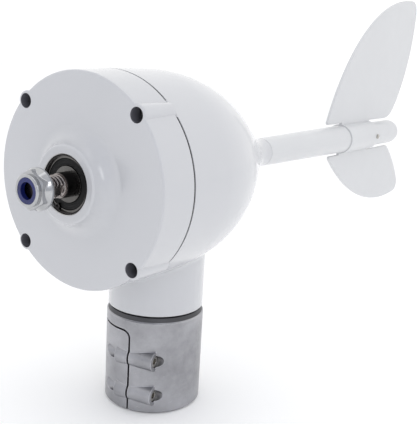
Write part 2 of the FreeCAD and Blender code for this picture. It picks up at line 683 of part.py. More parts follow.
def main_housing():
    """Casting: round shell with a cone behind, neck, bulkhead, stator seat and boom socket.

    In the head frame the shell is drawn as (place along Y, radius) about the sketch's
    level axis."""
    body = new_body("main_housing", "head")
    seam = "-seam_place + seam_gap / 2"
    spin(body, "shell", [
        (seam, "0"), (seam, "shell_radius"), ("shoulder_place", "shell_radius"),
        (CONE_END, "socket_radius"), ("socket_end", "socket_radius"), ("socket_end", "0"),
    ], "YZ_Plane", "H_Axis")
    cone_end = S["shoulder_place"] + (S["shell_radius"] - S["socket_radius"]) / S["cone_slope"]
    dress(body, "shoulder_blend", "shoulder_arc", ring_edge(S["shell_radius"], S["shoulder_place"], "y"))
    dress(body, "tail_blend", "tail_arc", ring_edge(S["socket_radius"], cone_end, "y"))
    extrude(body, "neck", lambda sketch: circle(sketch, "0", "0", "neck_radius"),
            "rotor_height - neck_bottom - neck_radius", lift="neck_bottom - rotor_height")

    def neck_root(edge):
        box = edge.BoundBox
        reach = max(math.hypot(vertex.X, vertex.Y) for vertex in edge.Vertexes)
        low = S["neck_bottom"] - S["rotor_height"] + 5
        return box.ZMin > low and abs(reach - S["neck_radius"]) < 0.05 and box.ZMax < -S["neck_radius"] - 5

    dress(body, "neck_blend", "neck_arc", neck_root)
    inner = "shell_radius - wall"
    spin(body, "stator_room", [
        ("-seam_place", "0"), ("-seam_place", "stator_radius + fit_gap"),
        ("-web_front", "stator_radius + fit_gap"), ("-web_front", "hub_radius"),
        ("-hub_front", "hub_radius"), ("-hub_front", "0"),
    ], "YZ_Plane", "H_Axis", cut=True)
    spin(body, "seat_hollow", [
        ("-seam_place", "stator_radius + seat_wall"), ("-seam_place", inner),
        ("-seam_place + lobe_length", inner), ("-seam_place + lobe_length", "stator_radius + seat_wall"),
    ], "YZ_Plane", "H_Axis", cut=True)
    extrude(body, "lobes", lobe_blocks, "lobe_length + 1", "XZ_Plane", "seam_place", back=True)
    extrude(body, "lobe_threads", lobe_circles("screw_radius + fit_gap"), "lobe_length - 4", "XZ_Plane",
            "seam_place", cut=True, back=True)
    slant = "room_corner / sqrt(1 + cone_slope * cone_slope)"
    spin(body, "rear_room", [
        ("-web_back", "0"), ("-web_back", inner), (f"{INNER_SHOULDER} - room_corner", inner),
        (f"{INNER_SHOULDER} + {slant}", f"{inner} - cone_slope * {slant}"),
        ("chamber_end", f"{inner} - cone_slope * (chamber_end - ({INNER_SHOULDER}))"), ("chamber_end", "0"),
    ], "YZ_Plane", "H_Axis", cut=True)
    extrude(body, "pedestal", lambda sketch: rectangle(
        sketch, "-holder_half - 4", "holder_front - 2", "holder_half + 4", "holder_back - 2"),
        "pedestal_height - neck_pocket_top - 4", lift="pedestal_height - rotor_height", back=True)
    spin(body, "boom_bore", [
        ("chamber_end - 1", "0"), ("chamber_end - 1", "spigot_radius + fit_gap"),
        ("socket_end + 1", "spigot_radius + fit_gap"), ("socket_end + 1", "0"),
    ], "YZ_Plane", "H_Axis", cut=True)
    spin(body, "bearing_bore", [
        ("-hub_front - 1", "0"), ("-hub_front - 1", "rear_outside + fit_gap"),
        ("-hub_front + rear_width + preload_thickness", "rear_outside + fit_gap"),
        ("-hub_front + rear_width + preload_thickness", "rear_outside - 4"),
        ("-web_back + 1", "rear_outside - 4"), ("-web_back + 1", "0"),
    ], "YZ_Plane", "H_Axis", cut=True)
    extrude(body, "windows", lambda sketch: [
        circle(sketch, across, up, "window_radius") for across, up in around(6, "window_circle", 60 - 120)],
        "web_front - web_back + 2", "XZ_Plane", "web_front + 1", cut=True, back=True)
    floor = "neck_bottom - rotor_height - 1"
    spin(body, "yaw_bore", [
        ("0", floor), ("yaw_outside + fit_gap", floor),
        ("yaw_outside + fit_gap", "yaw_high + yaw_width - rotor_height"),
        ("yaw_outside - 3.5", "yaw_high + yaw_width - rotor_height"),
        ("yaw_outside - 3.5", "-shell_radius + wall + 8"), ("0", "-shell_radius + wall + 8"),
    ], "YZ_Plane", "V_Axis", cut=True)
    spin(body, "neck_pocket", [
        ("neck_core", floor), ("neck_radius - neck_wall", floor),
        ("neck_radius - neck_wall", "neck_pocket_top - rotor_height"),
        ("neck_core", "neck_pocket_top - rotor_height"),
    ], "YZ_Plane", "V_Axis", cut=True)
    extrude(body, "pedestal_threads", lambda sketch: [
        circle(sketch, side, "holder_back - 7", "1.5 + fit_gap")
        for side in ("-holder_half + 3", "holder_half - 3")],
        "9", lift="pedestal_height - rotor_height", cut=True, back=True)
    extrude(body, "set_screw_hole", lambda sketch: circle(sketch, "0", "socket_end - 14", "2.5 + fit_gap"),
            "socket_radius * 2", cut=True, back=True)
    return body


def front_cover():
    """Cover: face, bearing boss with its blend, side wall, register lip and screw lobes."""
    body = new_body("front_cover", "rotor")
    edge = "-seam_place - seam_gap / 2"
    lip_out = "shell_radius - wall - fit_gap"
    lip_in = "shell_radius - wall - fit_gap - lip_wall"
    lip_end = "-seam_place + seam_gap / 2 + lip_length"
    spin(body, "cover", [
        ("front_outside + fit_gap", "-boss_front"), ("boss_radius", "-boss_front"),
        ("boss_radius + boss_flare", "-cover_front"), ("face_radius", "-cover_front"),
        ("shell_radius", edge), (lip_out, edge), (lip_out, lip_end), (lip_in, lip_end),
        (lip_in, "-cover_front + front_wall"), ("boss_radius", "-cover_front + front_wall"),
        ("boss_radius", "-front_place + front_width + 2.6"),
        ("front_outside - 3.5", "-front_place + front_width + 2.6"),
        ("front_outside - 3.5", "-front_place + front_width"),
        ("front_outside + fit_gap", "-front_place + front_width"),
    ])
    dress(body, "boss_blend", "boss_arc", ring_edge(S["boss_radius"] + S["boss_flare"], -S["cover_front"]))
    extrude(body, "lip_gaps", lobe_circles("lobe_radius + turn_gap"), "lip_length + seam_gap",
            lift=edge, cut=True)
    extrude(body, "lobes", lobe_circles("lobe_radius"), "cover_front - seam_place", lift="-cover_front")
    dress(body, "front_edge", "face_edge", front_rim)
    extrude(body, "head_holes", lobe_circles("counterbore"), "head_sink + screw_head_height",
            lift="-cover_front", cut=True)
    extrude(body, "shank_holes", lobe_circles("shank_hole"), "cover_front", lift="-cover_front", cut=True)
    spin(body, "circlip_groove", [
        ("front_outside - 1", "-front_place - circlip_thickness - fit_gap"),
        ("front_outside + circlip_depth + fit_gap", "-front_place - circlip_thickness - fit_gap"),
        ("front_outside + circlip_depth + fit_gap", "-front_place"), ("front_outside - 1", "-front_place"),
    ], cut=True)
    dress(body, "bore_chamfer", "0.7", ring_edge(S["front_outside"] + S["fit_gap"], -S["boss_front"]), "Chamfer")
    dress(body, "boss_round", "boss_rim", ring_edge(S["boss_radius"], -S["boss_front"]))
    return body


def front_rim(edge):
    """Edges of the cover's face: the big circle's arcs and the lobes' arcs."""
    box = edge.BoundBox
    level = abs(box.ZMin + S["cover_front"]) < 0.01 and abs(box.ZMax + S["cover_front"]) < 0.01
    reach = max(math.hypot(vertex.X, vertex.Y) for vertex in edge.Vertexes)
    return level and reach > S["face_radius"] - 0.1


def seam_gasket():
    """Gasket in the seam, in four lengths between the screw lobes."""
    body = new_body("seam_gasket", "rotor", pieces=4)
    low = "-seam_place - seam_gap / 2"
    spin(body, "gasket", [
        ("shell_radius - wall + 0.3", low), ("shell_radius - 0.7", low),
        ("shell_radius - 0.7", f"{low} + seam_gap"), ("shell_radius - wall + 0.3", f"{low} + seam_gap"),
    ])
    extrude(body, "gasket_gaps", lambda sketch: lobe_blocks(sketch, "fit_gap"), "seam_gap + 2",
            lift=f"{low} - 1", cut=True)
    return body


def circlip():
    """Internal circlip in front of the front bearing, with two drilled lugs at its gap."""
    body = new_body("front_circlip", "rotor")
    low = "-front_place - circlip_thickness"
    outer = "front_outside + circlip_depth"
    extrude(body, "clip", lambda sketch: [
        circle(sketch, "0", "0", outer), circle(sketch, "0", "0", f"{outer} - circlip_width")],
        "circlip_thickness", lift=low)
    turn = "90 + circlip_angle"
    lug = "(front_outside - 3.1)"
    sides = [(f"{lug} * cos(14)", f"{lug} * sin(14)"), (f"{lug} * cos(14)", f"-{lug} * sin(14)")]
    extrude(body, "lugs", lambda sketch: [circle(sketch, across, up, "2.5") for across, up in sides],
            "circlip_thickness", lift=low, turn=turn)
    extrude(body, "gap", lambda sketch: rectangle(sketch, "8", "-3.4", "30", "3.4"),
            "circlip_thickness", lift=low, turn=turn, cut=True)
    extrude(body, "lug_holes", lambda sketch: [circle(sketch, across, up, "1.1") for across, up in sides],
            "circlip_thickness", lift=low, turn=turn, cut=True)
    return body


# ---------------------------------------------------------------- generator
def stator_core():
    """Laminated ring with twelve slots open to its bore."""
    body = new_body("stator_core", "rotor")
    extrude(body, "stack", lambda sketch: [
        circle(sketch, "0", "0", "stator_radius"), circle(sketch, "0", "0", "stator_bore")],
        "stator_length", lift="-stator_front")
    slot = extrude(body, "slot", lambda sketch: polygon(sketch, [
        ("stator_bore - 2", "-1.5"), ("slot_mouth - 2", "-1.5"), ("slot_mouth", "-8"),
        ("slot_floor", "-11.8"), ("slot_floor", "11.8"), ("slot_mouth", "8"),
        ("slot_mouth - 2", "1.5"), ("stator_bore - 2", "1.5")]),
        "stator_length", lift="-stator_front", cut=True)
    repeat(body, "slots", [slot], 12)
    return body


def stator_windings():
    """Twelve coils, one round each tooth, between the slots."""
    body = new_body("stator_windings", "rotor", pieces=12)
    body.Placement = Placement(Vector(), Rotation(Vector(1, 0, 0), -90) * Rotation(Vector(0, 0, 1), 15))
    body.setExpression("Placement.Base.z", bound("rotor_height"))
    back = "-stator_front + stator_length"

    def loop(sketch):
        rectangle(sketch, "-coil_reach", "-stator_front - coil_overhang", "coil_reach",
                  f"{back} + coil_overhang")
        rectangle(sketch, "-coil_window", "-stator_front - 0.2", "coil_window", f"{back} + 0.2")

    coil = extrude(body, "coil", loop, "coil_height", "YZ_Plane", "coil_inner")
    repeat(body, "coils", [coil], 12)
    return body


def rotor_core():
    """Steel rim on a web and hub, with lightening holes and a keyway."""
    body = new_body("rotor_core", "rotor")
    back = "-stator_front + stator_length"
    rim = "stator_bore - air_gap - magnet_thickness - fit_gap"
    middle = "-stator_front + stator_length / 2"
    spin(body, "core", [
        ("core_seat + fit_gap", "-stator_front"), ("core_hub", "-stator_front"),
        ("core_hub", f"{middle} - core_web / 2"), (f"{rim} - rim_thickness", f"{middle} - core_web / 2"),
        (f"{rim} - rim_thickness", "-stator_front"), (rim, "-stator_front"), (rim, back),
        (f"{rim} - rim_thickness", back), (f"{rim} - rim_thickness", f"{middle} + core_web / 2"),
        ("core_hub", f"{middle} + core_web / 2"), ("core_hub", back), ("core_seat + fit_gap", back),
    ])
    hole = extrude(body, "hole", lambda sketch: circle(
        sketch, f"(core_hub + {rim} - rim_thickness) / 2", "0", "7"), "stator_length",
        lift="-stator_front", cut=True)
    repeat(body, "holes", [hole], 6)
    extrude(body, "keyway", lambda sketch: rectangle(
        sketch, "-key_width / 2 - fit_gap", "0", "key_width / 2 + fit_gap",
        "core_seat + key_height / 2 + fit_gap"), "stator_length", lift="-stator_front", cut=True)
    return body


def rotor_magnets():
    """Fourteen magnets round the rotor core's rim."""
    body = new_body("rotor_magnets", "rotor", pieces=14)
    outer = "stator_bore - air_gap"
    extrude(body, "band", lambda sketch: [
        circle(sketch, "0", "0", outer), circle(sketch, "0", "0", f"{outer} - magnet_thickness")],
        "stator_length", lift="-stator_front")
    gap = extrude(body, "gap", lambda sketch: rectangle(sketch, "20", "-1.2", "60", "1.2"),
                  "stator_length", lift="-stator_front", cut=True)
    repeat(body, "gaps", [gap], 14)
    return body


def rotor_shaft():
    """Stepped shaft: stud with one milled flat, bearing seats, collar, core seat and keyway."""
    body = new_body("rotor_shaft", "rotor")
    collar_front = "-front_place + front_width"
    back = "-stator_front + stator_length"
    spin(body, "shaft", [
        ("0", "-stud_front"), ("thread_radius - 1.4", "-stud_front"), ("thread_radius", "-stud_front + 1.4"),
        ("thread_radius", "-thread_start"), ("stud_radius", "-thread_start"),
        ("stud_radius", "-shaft_front"), ("front_seat - 0.4", "-shaft_front"),
        ("front_seat", "-shaft_front + 0.4"),
        ("front_seat", collar_front), ("shaft_collar", collar_front),
        ("shaft_collar", f"{collar_front} + shaft_collar_length"),
        ("core_seat", f"{collar_front} + shaft_collar_length"), ("core_seat", back),
        ("rear_seat", back), ("rear_seat", "-hub_front + rear_width + 1.5"),
        ("0", "-hub_front + rear_width + 1.5"),
    ])
    middle = "-flat_start - flat_runout"
    for name, draw in (
            ("flat", lambda sketch: rectangle(sketch, "-flat_runout", "-stud_front - 1", "flat_runout", middle)),
            ("flat_end", lambda sketch: circle(sketch, "0", middle, "flat_runout"))):
        outline = new_sketch(body, name + "_outline", "YZ_Plane")
        outline.AttachmentOffset = Placement(Vector(), Rotation(Vector(0, 1, 0), 1))
        outline.setExpression("AttachmentOffset.Rotation.Angle", bound("flat_angle"))
        outline.setExpression("AttachmentOffset.Base.x", bound("flat_depth * sin(flat_angle)"))
        outline.setExpression("AttachmentOffset.Base.z", bound("flat_depth * cos(flat_angle)"))
        draw(outline)
        cutter = body.newObject("PartDesign::Pocket", name)
        cutter.Profile = outline
        cutter.Reversed = True
        cutter.setExpression("Length", bound("stud_radius"))
        finish(body, cutter)
    extrude(body, "keyway", lambda sketch: rectangle(
        sketch, "-key_width / 2", "core_seat - key_height / 2", "key_width / 2", "core_seat + 1"),
        "key_length", lift="-stator_front + 5", cut=True)
    return body


def rotor_key():
    """Square key between shaft and rotor core."""
    body = new_body("rotor_key", "rotor")
    extrude(body, "key", lambda sketch: rectangle(
        sketch, "-key_width / 2 + fit_gap", "core_seat - key_height / 2 + fit_gap",
        "key_width / 2 - fit_gap", "core_seat + key_height / 2 - fit_gap"),
        "key_length - fit_gap", lift="-stator_front + 5")
    return body


# ---------------------------------------------------------------- hub nut
def hub_nut():
    """Flanged hexagon nut with a round end that holds the nylon ring."""
    body = new_body("hub_nut", "rotor")
    front = "-nut_back - nut_height"
    bore = "thread_radius + thread_gap"
    extrude(body, "hexagon", lambda sketch: hexagon(sketch, "0", "0", "nut_flats"),
            "nut_height - nut_cap", lift=f"{front} + nut_cap")
    corner = "nut_flats / sqrt(3)"
    spin(body, "corner_chamfer", [
        ("nut_flats / 2", f"{front} + nut_cap - 1"), (f"{corner} + 1", f"{front} + nut_cap - 1"),
        (f"{corner} + 1", f"{front} + nut_cap + 1.6"), (f"{corner}", f"{front} + nut_cap + 1.3"),
        ("nut_flats / 2 - 0.2", f"{front} + nut_cap"),
    ], cut=True)
    spin(body, "flange", [
        ("stud_radius + 1", "-nut_back"), ("nut_flange_radius", "-nut_back"),
        ("nut_flange_radius", "-nut_back - nut_flange"), ("nut_flats / 2 - 0.5", "-nut_back - nut_flange * 2"),
        ("stud_radius + 1", "-nut_back - nut_flange * 2"),
    ])
    spin(body, "round_end", [
        ("insert_radius - 1", front), ("nut_cap_radius - 0.8", front), ("nut_cap_radius", f"{front} + 0.8"),
        ("nut_cap_radius", f"{front} + nut_cap + 1"), ("insert_radius - 1", f"{front} + nut_cap + 1"),
    ])
    spin(body, "bore", [
        ("0", f"{front} - 1"), ("insert_radius + fit_gap", f"{front} - 1"),
        ("insert_radius + fit_gap", f"{front} + 0.4 + insert_height"), (bore, f"{front} + 0.4 + insert_height"),
        (bore, "-nut_back + 1"), ("0", "-nut_back + 1"),
    ], cut=True)
    return body


# ---------------------------------------------------------------- slip rings, brushes and leads
def slip_ring_places():
    return [f"slip_ring_low + slip_ring_pitch * {k}" for k in range(3)]


def slip_ring_sleeve():
    """Insulating sleeve with a seat for each slip ring."""
    corners = [("sleeve_seat + fit_gap", "sleeve_bottom"), ("sleeve_radius", "sleeve_bottom")]
    for middle in slip_ring_places():
        low = f"{middle} - slip_ring_width / 2 - fit_gap"
        high = f"{middle} + slip_ring_width / 2 + fit_gap"
        corners += [("sleeve_radius", low), ("sleeve_core", low), ("sleeve_core", high), ("sleeve_radius", high)]
    corners += [("sleeve_radius", "spindle_top"), ("sleeve_seat + fit_gap", "spindle_top")]
    body = new_body("slip_ring_sleeve")
    spin(body, "sleeve", corners)
    return body


def brush_holder():
    """Block on the housing's pedestal with a channel for each brush and its spring."""
    body = new_body("brush_holder")
    extrude(body, "block", lambda sketch: rectangle(
        sketch, "-holder_half", "holder_front", "holder_half", "holder_back"),
        "holder_top - pedestal_height", lift="pedestal_height")
    extrude(body, "channels", lambda sketch: [
        rectangle(sketch, "-brush_half - fit_gap", f"{middle} - brush_half * 0.8 - fit_gap",
                  "brush_half + fit_gap", f"{middle} + brush_half * 0.8 + fit_gap")
        for middle in slip_ring_places()],
        "holder_back", "XZ_Plane", "-holder_back - 1", cut=True)
    extrude(body, "screw_holes", lambda sketch: [
        circle(sketch, side, "holder_back - 7", "1.7") for side in ("-holder_half + 3", "holder_half - 3")],
        "holder_top", lift="pedestal_height - 1", cut=True)
    return body


def brushes():
    """Three carbon brushes, each on its slip ring."""
    body = new_body("carbon_brushes", pieces=3)
    extrude(body, "brush", lambda sketch: [
        rectangle(sketch, "-brush_half", f"{middle} - brush_half * 0.8", "brush_half",
                  f"{middle} + brush_half * 0.8") for middle in slip_ring_places()],
        "brush_back - slip_ring_radius - fit_gap", "XZ_Plane", "-brush_back")
    return body


def brush_springs():
    """Springs behind the brushes, drawn as plain tubes of the coils' outer size."""
    body = new_body("brush_springs", pieces=3)
    extrude(body, "spring", lambda sketch: [
        (circle(sketch, "0", middle, "brush_half * 0.75"), circle(sketch, "0", middle, "brush_half * 0.45"))
        for middle in slip_ring_places()],
        "holder_back - brush_back - fit_gap * 2", "XZ_Plane", "-holder_back + fit_gap")
    return body


def brush_cap():
    """Plate that closes the channels behind the springs."""
    body = new_body("brush_cap")
    extrude(body, "plate", lambda sketch: rectangle(
        sketch, "-brush_half - 2.5", "slip_ring_low - 5", "brush_half + 2.5",
        "slip_ring_low + slip_ring_pitch * 2 + 5"),
        "cap_thickness", "XZ_Plane", "-holder_back - cap_thickness")
    return body


def holder_screws():
    """Two long screws that hold the brush holder on its pedestal."""
    body = new_body("holder_screws", pieces=2)

    def circles(radius):
        def draw(sketch):
            for side in ("-holder_half + 3", "holder_half - 3"):
                circle(sketch, side, "holder_back - 7", radius)
        return draw

    extrude(body, "shanks", circles("1.5"), "holder_top - pedestal_height + 8", lift="pedestal_height - 8")
    extrude(body, "heads", circles("2.8"), "2.4", lift="holder_top")
    return body


def terminal_screws():
    """Three small screws on the holder's side, one for each phase lead."""
    body = new_body("terminal_screws", pieces=3)
    extrude(body, "heads", lambda sketch: [
        circle(sketch, f"terminal_place + terminal_pitch * {k}", "lead_height + 4.4", "2") for k in range(3)],
        "1.8", "YZ_Plane", "holder_half")
    return body


def phase_leads():
    """Three insulated leads from the coils through a window to the terminals."""
    runs = []
    start = -S["stator_front"] + S["stator_length"] + S["coil_overhang"]
    for k in range(3):
        side = S["lead_side"] + S["lead_pitch"] * k
        turn_place = S["terminal_place"] + S["terminal_pitch"] * k
        bend = S["lead_bend"]
        height = S["lead_height"]
        first = Vector(side, start, height)
        bend_in = Vector(side, turn_place - bend, height)
        centre = Vector(side - bend, turn_place - bend, height)
        middle = centre + Vector(math.cos(math.pi / 4), math.sin(math.pi / 4), 0) * bend
        bend_out = Vector(side - bend, turn_place, height)
        last = Vector(S["holder_half"], turn_place, height)
        path = Part.Wire([
            Part.LineSegment(first, bend_in).toShape(),
            Part.Arc(bend_in, middle, bend_out).toShape(),
            Part.LineSegment(bend_out, last).toShape(),
        ])
        section = Part.Wire(Part.Circle(first, Vector(0, 1, 0), S["lead_radius"]).toShape())
        runs.append(path.makePipeShell([section], True, False))
    leads = doc.addObject("Part::Feature", "phase_leads")
    leads.Label = "phase_leads"
    leads.Shape = Part.makeCompound(runs)
    subparts.append((leads, 3))
    return leads


# ---------------------------------------------------------------- boom and fin
def tail_boom():
    """Tube: spigot in the socket, slightly flared run, parallel seat for the fin."""
    body = new_body("tail_boom", "rotor")
    start = "socket_end + 0.25"
    inner = "boom_seat - boom_wall"
    spin(body, "boom", [
        ("spigot_radius - boom_wall", "spigot_start"), ("spigot_radius", "spigot_start"),
        ("spigot_radius", start), ("boom_front_radius", start),
        ("boom_rear_radius", "fin_hub_front - 0.2"), ("boom_seat", "fin_hub_front - 0.2"),
        ("boom_seat", "boom_end"), (inner, "boom_end"), (inner, f"{start} + 30"),
        ("spigot_radius - boom_wall", f"{start} + 20"),
    ])
    extrude(body, "screw_hole", lambda sketch: circle(sketch, "0", "fin_screw_place", "1.6"),
            "boom_seat + 1", "YZ_Plane", cut=True)
    return body


def end_cap():
    """Rounded plug in the boom's end."""
    body = new_body("boom_end_cap", "rotor")
    inner = "boom_seat - boom_wall - fit_gap"
    spin(body, "plug", [
        ("0", "boom_end - 12"), (inner, "boom_end - 12"), (inner, "boom_end"), ("boom_seat", "boom_end"),
        ("boom_seat", "boom_end + 3"), ("boom_seat - 3", "boom_end + cap_length"),
        ("0", "boom_end + cap_length"),
    ])
    tip = ring_edge(S["boom_seat"] - 3, S["boom_end"] + S["cap_length"])
    side = ring_edge(S["boom_seat"], S["boom_end"] + 3)
    dress(body, "round_tip", "9", tip)
    dress(body, "round_side", "8", side)
    return body


def arc_between(first, last, radius, left):
    """Arc of a given radius from one point to another, bulging to the left or the right."""
    chord = last - first
    side = Vector(-chord.y, chord.x, 0).normalize()
    if not left:
        side = -side
    sagitta = radius - math.sqrt(radius * radius - chord.Length ** 2 / 4)
    return Part.Arc(first, (first + last) / 2 + side * sagitta, last)


def wing(body, name, side):
    """One wing: straight root, bowed leading and trailing edges, rounded corners."""
    up = 1 if side == "upper" else -1
    sign = "" if side == "upper" else "-"
    front = Vector(S[f"{side}_front"], up * S["fin_root"], 0)
    tip = Vector(S[f"{side}_tip_back"], up * S[f"{side}_tip"], 0)
    heel = Vector(S[f"{side}_heel"], up * S["fin_root"], 0)

    def outline(sketch):
        sketch.addGeometry(arc_between(front, tip, S[f"{side}_lead_arc"], up > 0))
        sketch.addGeometry(arc_between(tip, heel, S[f"{side}_trail_arc"], up > 0))
        sketch.addGeometry(Part.LineSegment(heel, front))
        ends = {}
        for curve in (0, 1):
            goal = front if curve == 0 else tip
            ends[curve] = (1, 2) if sketch.getPoint(curve, 1).distanceToPoint(goal) < 0.01 else (2, 1)
        sketch.addConstraint(Sketcher.Constraint("Coincident", 0, ends[0][1], 1, ends[1][0]))
        sketch.addConstraint(Sketcher.Constraint("Coincident", 1, ends[1][1], 2, 1))
        sketch.addConstraint(Sketcher.Constraint("Coincident", 2, 2, 0, ends[0][0]))
        place_point(sketch, 2, 2, f"{side}_front", f"{sign}fin_root")
        place_point(sketch, 1, ends[1][0], f"{side}_tip_back", f"{sign}{side}_tip")
        place_point(sketch, 2, 1, f"{side}_heel", f"{sign}fin_root")
        set_radius(sketch, 0, f"{side}_lead_arc")
        set_radius(sketch, 1, f"{side}_trail_arc")

    extrude(body, name, outline, "fin_thickness", "YZ_Plane", "-fin_thickness / 2")

    def upright_at(point):
        def chosen(edge):
            box = edge.BoundBox
            near = abs(box.YMin - point.x) < 0.01 and abs(box.ZMin - point.y) < 0.01
            return near and box.XLength > S["fin_thickness"] - 0.1 and box.YLength < 0.01
        return chosen

    dress(body, name + "_tip_round", f"{side}_tip_round", upright_at(tip))
    dress(body, name + "_heel_round", f"{side}_heel_round", upright_at(heel))
    dress(body, name + "_front_round", "fin_front_round", upright_at(front))


def tail_fin():
    """Two wings on one hub that slides over the boom's end."""
    body = new_body("tail_fin", "head")
    body.AllowCompound = True
    wing(body, "upper_wing", "upper")
    wing(body, "lower_wing", "lower")

    def outline_edges(edge):
        box = edge.BoundBox
        return box.XLength < 0.01 and abs(abs(box.XMin) - S["fin_thickness"] / 2) < 0.01

    dress(body, "edge_round", "fin_edge", outline_edges)
    extrude(body, "roots", lambda sketch: rectangle(
        sketch, "fin_hub_front", "-fin_root - 4", "fin_hub_back", "fin_root + 4"),
        "fin_thickness", "YZ_Plane", "-fin_thickness / 2")
    spin(body, "hub", [
        ("fin_hub_front", "boom_seat - 1"), ("fin_hub_front", "fin_hub_radius - 0.6"),
        ("fin_hub_front + 0.6", "fin_hub_radius"), ("fin_hub_back - 0.6", "fin_hub_radius"),
        ("fin_hub_back", "fin_hub_radius - 0.6"), ("fin_hub_back", "boom_seat - 1"),
    ], "YZ_Plane", "H_Axis")
    spin(body, "boom_hole", [
        ("fin_hub_front - 1", "0"), ("fin_hub_front - 1", "boom_seat + fit_gap"),
        ("fin_hub_back + 1", "boom_seat + fit_gap"), ("fin_hub_back + 1", "0"),
    ], "YZ_Plane", "H_Axis", cut=True)
    extrude(body, "screw_hole", lambda sketch: circle(sketch, "fin_screw_place", "0", "1.9"),
            "fin_hub_radius + 1", "YZ_Plane", cut=True)
    return body


def fin_screw():
    """Pan-head screw through the fin's hub into the boom."""
    body = new_body("fin_screw", "head")
    extrude(body, "shank", lambda sketch: circle(sketch, "fin_screw_place", "0", "1.5"),
            "fin_hub_radius - boom_seat + boom_wall + 2", "YZ_Plane", "boom_seat - boom_wall - 2")
    extrude(body, "head", lambda sketch: circle(sketch, "fin_screw_place", "0", "3"),
            "1.6", "YZ_Plane", "fin_hub_radius")
    return body


def boom_set_screw():
    """Set screw under the socket that locks the boom."""
    body = new_body("boom_set_screw", "head")
    extrude(body, "screw", lambda sketch: circle(sketch, "0", "socket_end - 14", "2.5"),
            "5", lift="-spigot_radius - fit_gap", back=True)
    extrude(body, "socket", lambda sketch: hexagon(sketch, "0", "socket_end - 14", "2.5"),
            "2", lift="-spigot_radius - fit_gap - 5", cut=True)
    return body


# ---------------------------------------------------------------- the assembly
clamp_collar()
socket_screws("clamp_screws", "clamp", "YZ_Plane", [("-ear_depth", "ear_low"), ("-ear_depth", "ear_high")],
              "clamp_seat", "clamp_seat + ear_left - 1", True)
spindle()
spindle_screws()
washer("lead_grommet", "4", "lead_hole - fit_gap", "web_bottom + 0.5", "collar_top - flange_recess")
bearings()
washer("yaw_inner_spacer", "yaw_seat + fit_gap", "yaw_seat + 3", "yaw_low + yaw_width", "yaw_high")
washer("yaw_outer_spacer", "yaw_outside - 2.5", "yaw_outside", "yaw_low + yaw_width", "yaw_high")
washer("yaw_lock_nut", "yaw_seat + fit_gap", "locknut_radius", "yaw_high + yaw_width",
       "yaw_high + yaw_width + locknut_height")
washer("neck_circlip", "yaw_outside - 3", "yaw_outside", "yaw_low - neck_clip_thickness", "yaw_low")
washer("neck_dust_seal", "spindle_shoulder + turn_gap", "yaw_outside",
       "neck_bottom + 0.2", "yaw_low - neck_clip_thickness")
slip_ring_sleeve()
rings("slip_rings", [(f"{middle} - slip_ring_width / 2", f"{middle} + slip_ring_width / 2")
                     for middle in slip_ring_places()], "world", "sleeve_core + fit_gap", "slip_ring_radius")
main_housing()
front_cover()
seam_gasket()
socket_screws("cover_screws", "rotor", "XY_Plane", around(4, "lobe_circle", 45),
              "-cover_front + head_sink + screw_head_height", "cover_screw_length", False)
circlip()
stator_core()
stator_windings()
rotor_core()
rotor_magnets()
rotor_shaft()
rotor_key()
washer("rear_bearing_spacer", "rear_seat + fit_gap", "rear_seat + 3",
       "-stator_front + stator_length", "-hub_front", "rotor")
washer("preload_washer", "rear_outside - 3.5", "rear_outside - 0.2",
       "-hub_front + rear_width", "-hub_front + rear_width + preload_thickness", "rotor")
hub_nut()
washer("nut_insert", "insert_hole", "insert_radius", "-nut_back - nut_height + 0.4",
       "-nut_back - nut_height + 0.4 + insert_height", "rotor")
brush_holder()
brushes()
brush_springs()
brush_cap()
holder_screws()
terminal_screws()
phase_leads()
tail_boom()
boom_set_screw()
end_cap()
tail_fin()
fin_screw()

doc.recompute()

# ---------------------------------------------------------------- checks and output
faults = []
for item in doc.Objects:
    if "Invalid" in item.State or "Error" in item.State:
        faults.append(f"{item.Name}: {item.State}")
for body, pieces in subparts:
    shape = body.Shape
    if shape.isNull() or not shape.isValid():
        faults.append(f"{body.Label}: empty or invalid shape")
    elif len(shape.Solids) != pieces:
        faults.append(f"{body.Label}: {len(shape.Solids)} solids, {pieces} expected")
if faults:
    raise RuntimeError("\n".join(faults))

os.makedirs("parts", exist_ok=True)
for body, _ in subparts:
    body.Shape.exportStep(f"parts/{body.Label}.step")
    box = body.Shape.BoundBox
    print(f"{body.Label:28s} {len(body.Shape.Solids):3d} solids {body.Shape.Volume / 1000:9.2f} cm3 "
          f"y {box.YMin:7.1f} {box.YMax:7.1f} z {box.ZMin:7.1f} {box.ZMax:7.1f}")
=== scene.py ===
"""Wind turbine head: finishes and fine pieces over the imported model, run as a script."""

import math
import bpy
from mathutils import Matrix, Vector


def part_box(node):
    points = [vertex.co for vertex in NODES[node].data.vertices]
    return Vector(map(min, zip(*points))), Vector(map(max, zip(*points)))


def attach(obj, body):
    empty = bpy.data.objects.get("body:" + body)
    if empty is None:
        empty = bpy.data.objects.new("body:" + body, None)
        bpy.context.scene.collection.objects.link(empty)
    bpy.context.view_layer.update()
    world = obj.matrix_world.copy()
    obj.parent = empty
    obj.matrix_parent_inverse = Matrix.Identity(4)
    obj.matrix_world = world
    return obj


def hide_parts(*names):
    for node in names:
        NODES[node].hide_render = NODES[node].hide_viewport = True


bl_info = {
    "name": "Wind turbine head",
    "version": (1, 0, 0),
    "blender": (4, 5, 0),
    "location": "View3D > Sidebar > Turbine",
    "description": "Finishes, threads, seals, coils and studio for a small wind turbine head",
    "category": "Object",
}

import bpy
from bpy.props import FloatProperty, FloatVectorProperty, IntProperty, PointerProperty
from mathutils import Matrix, Vector

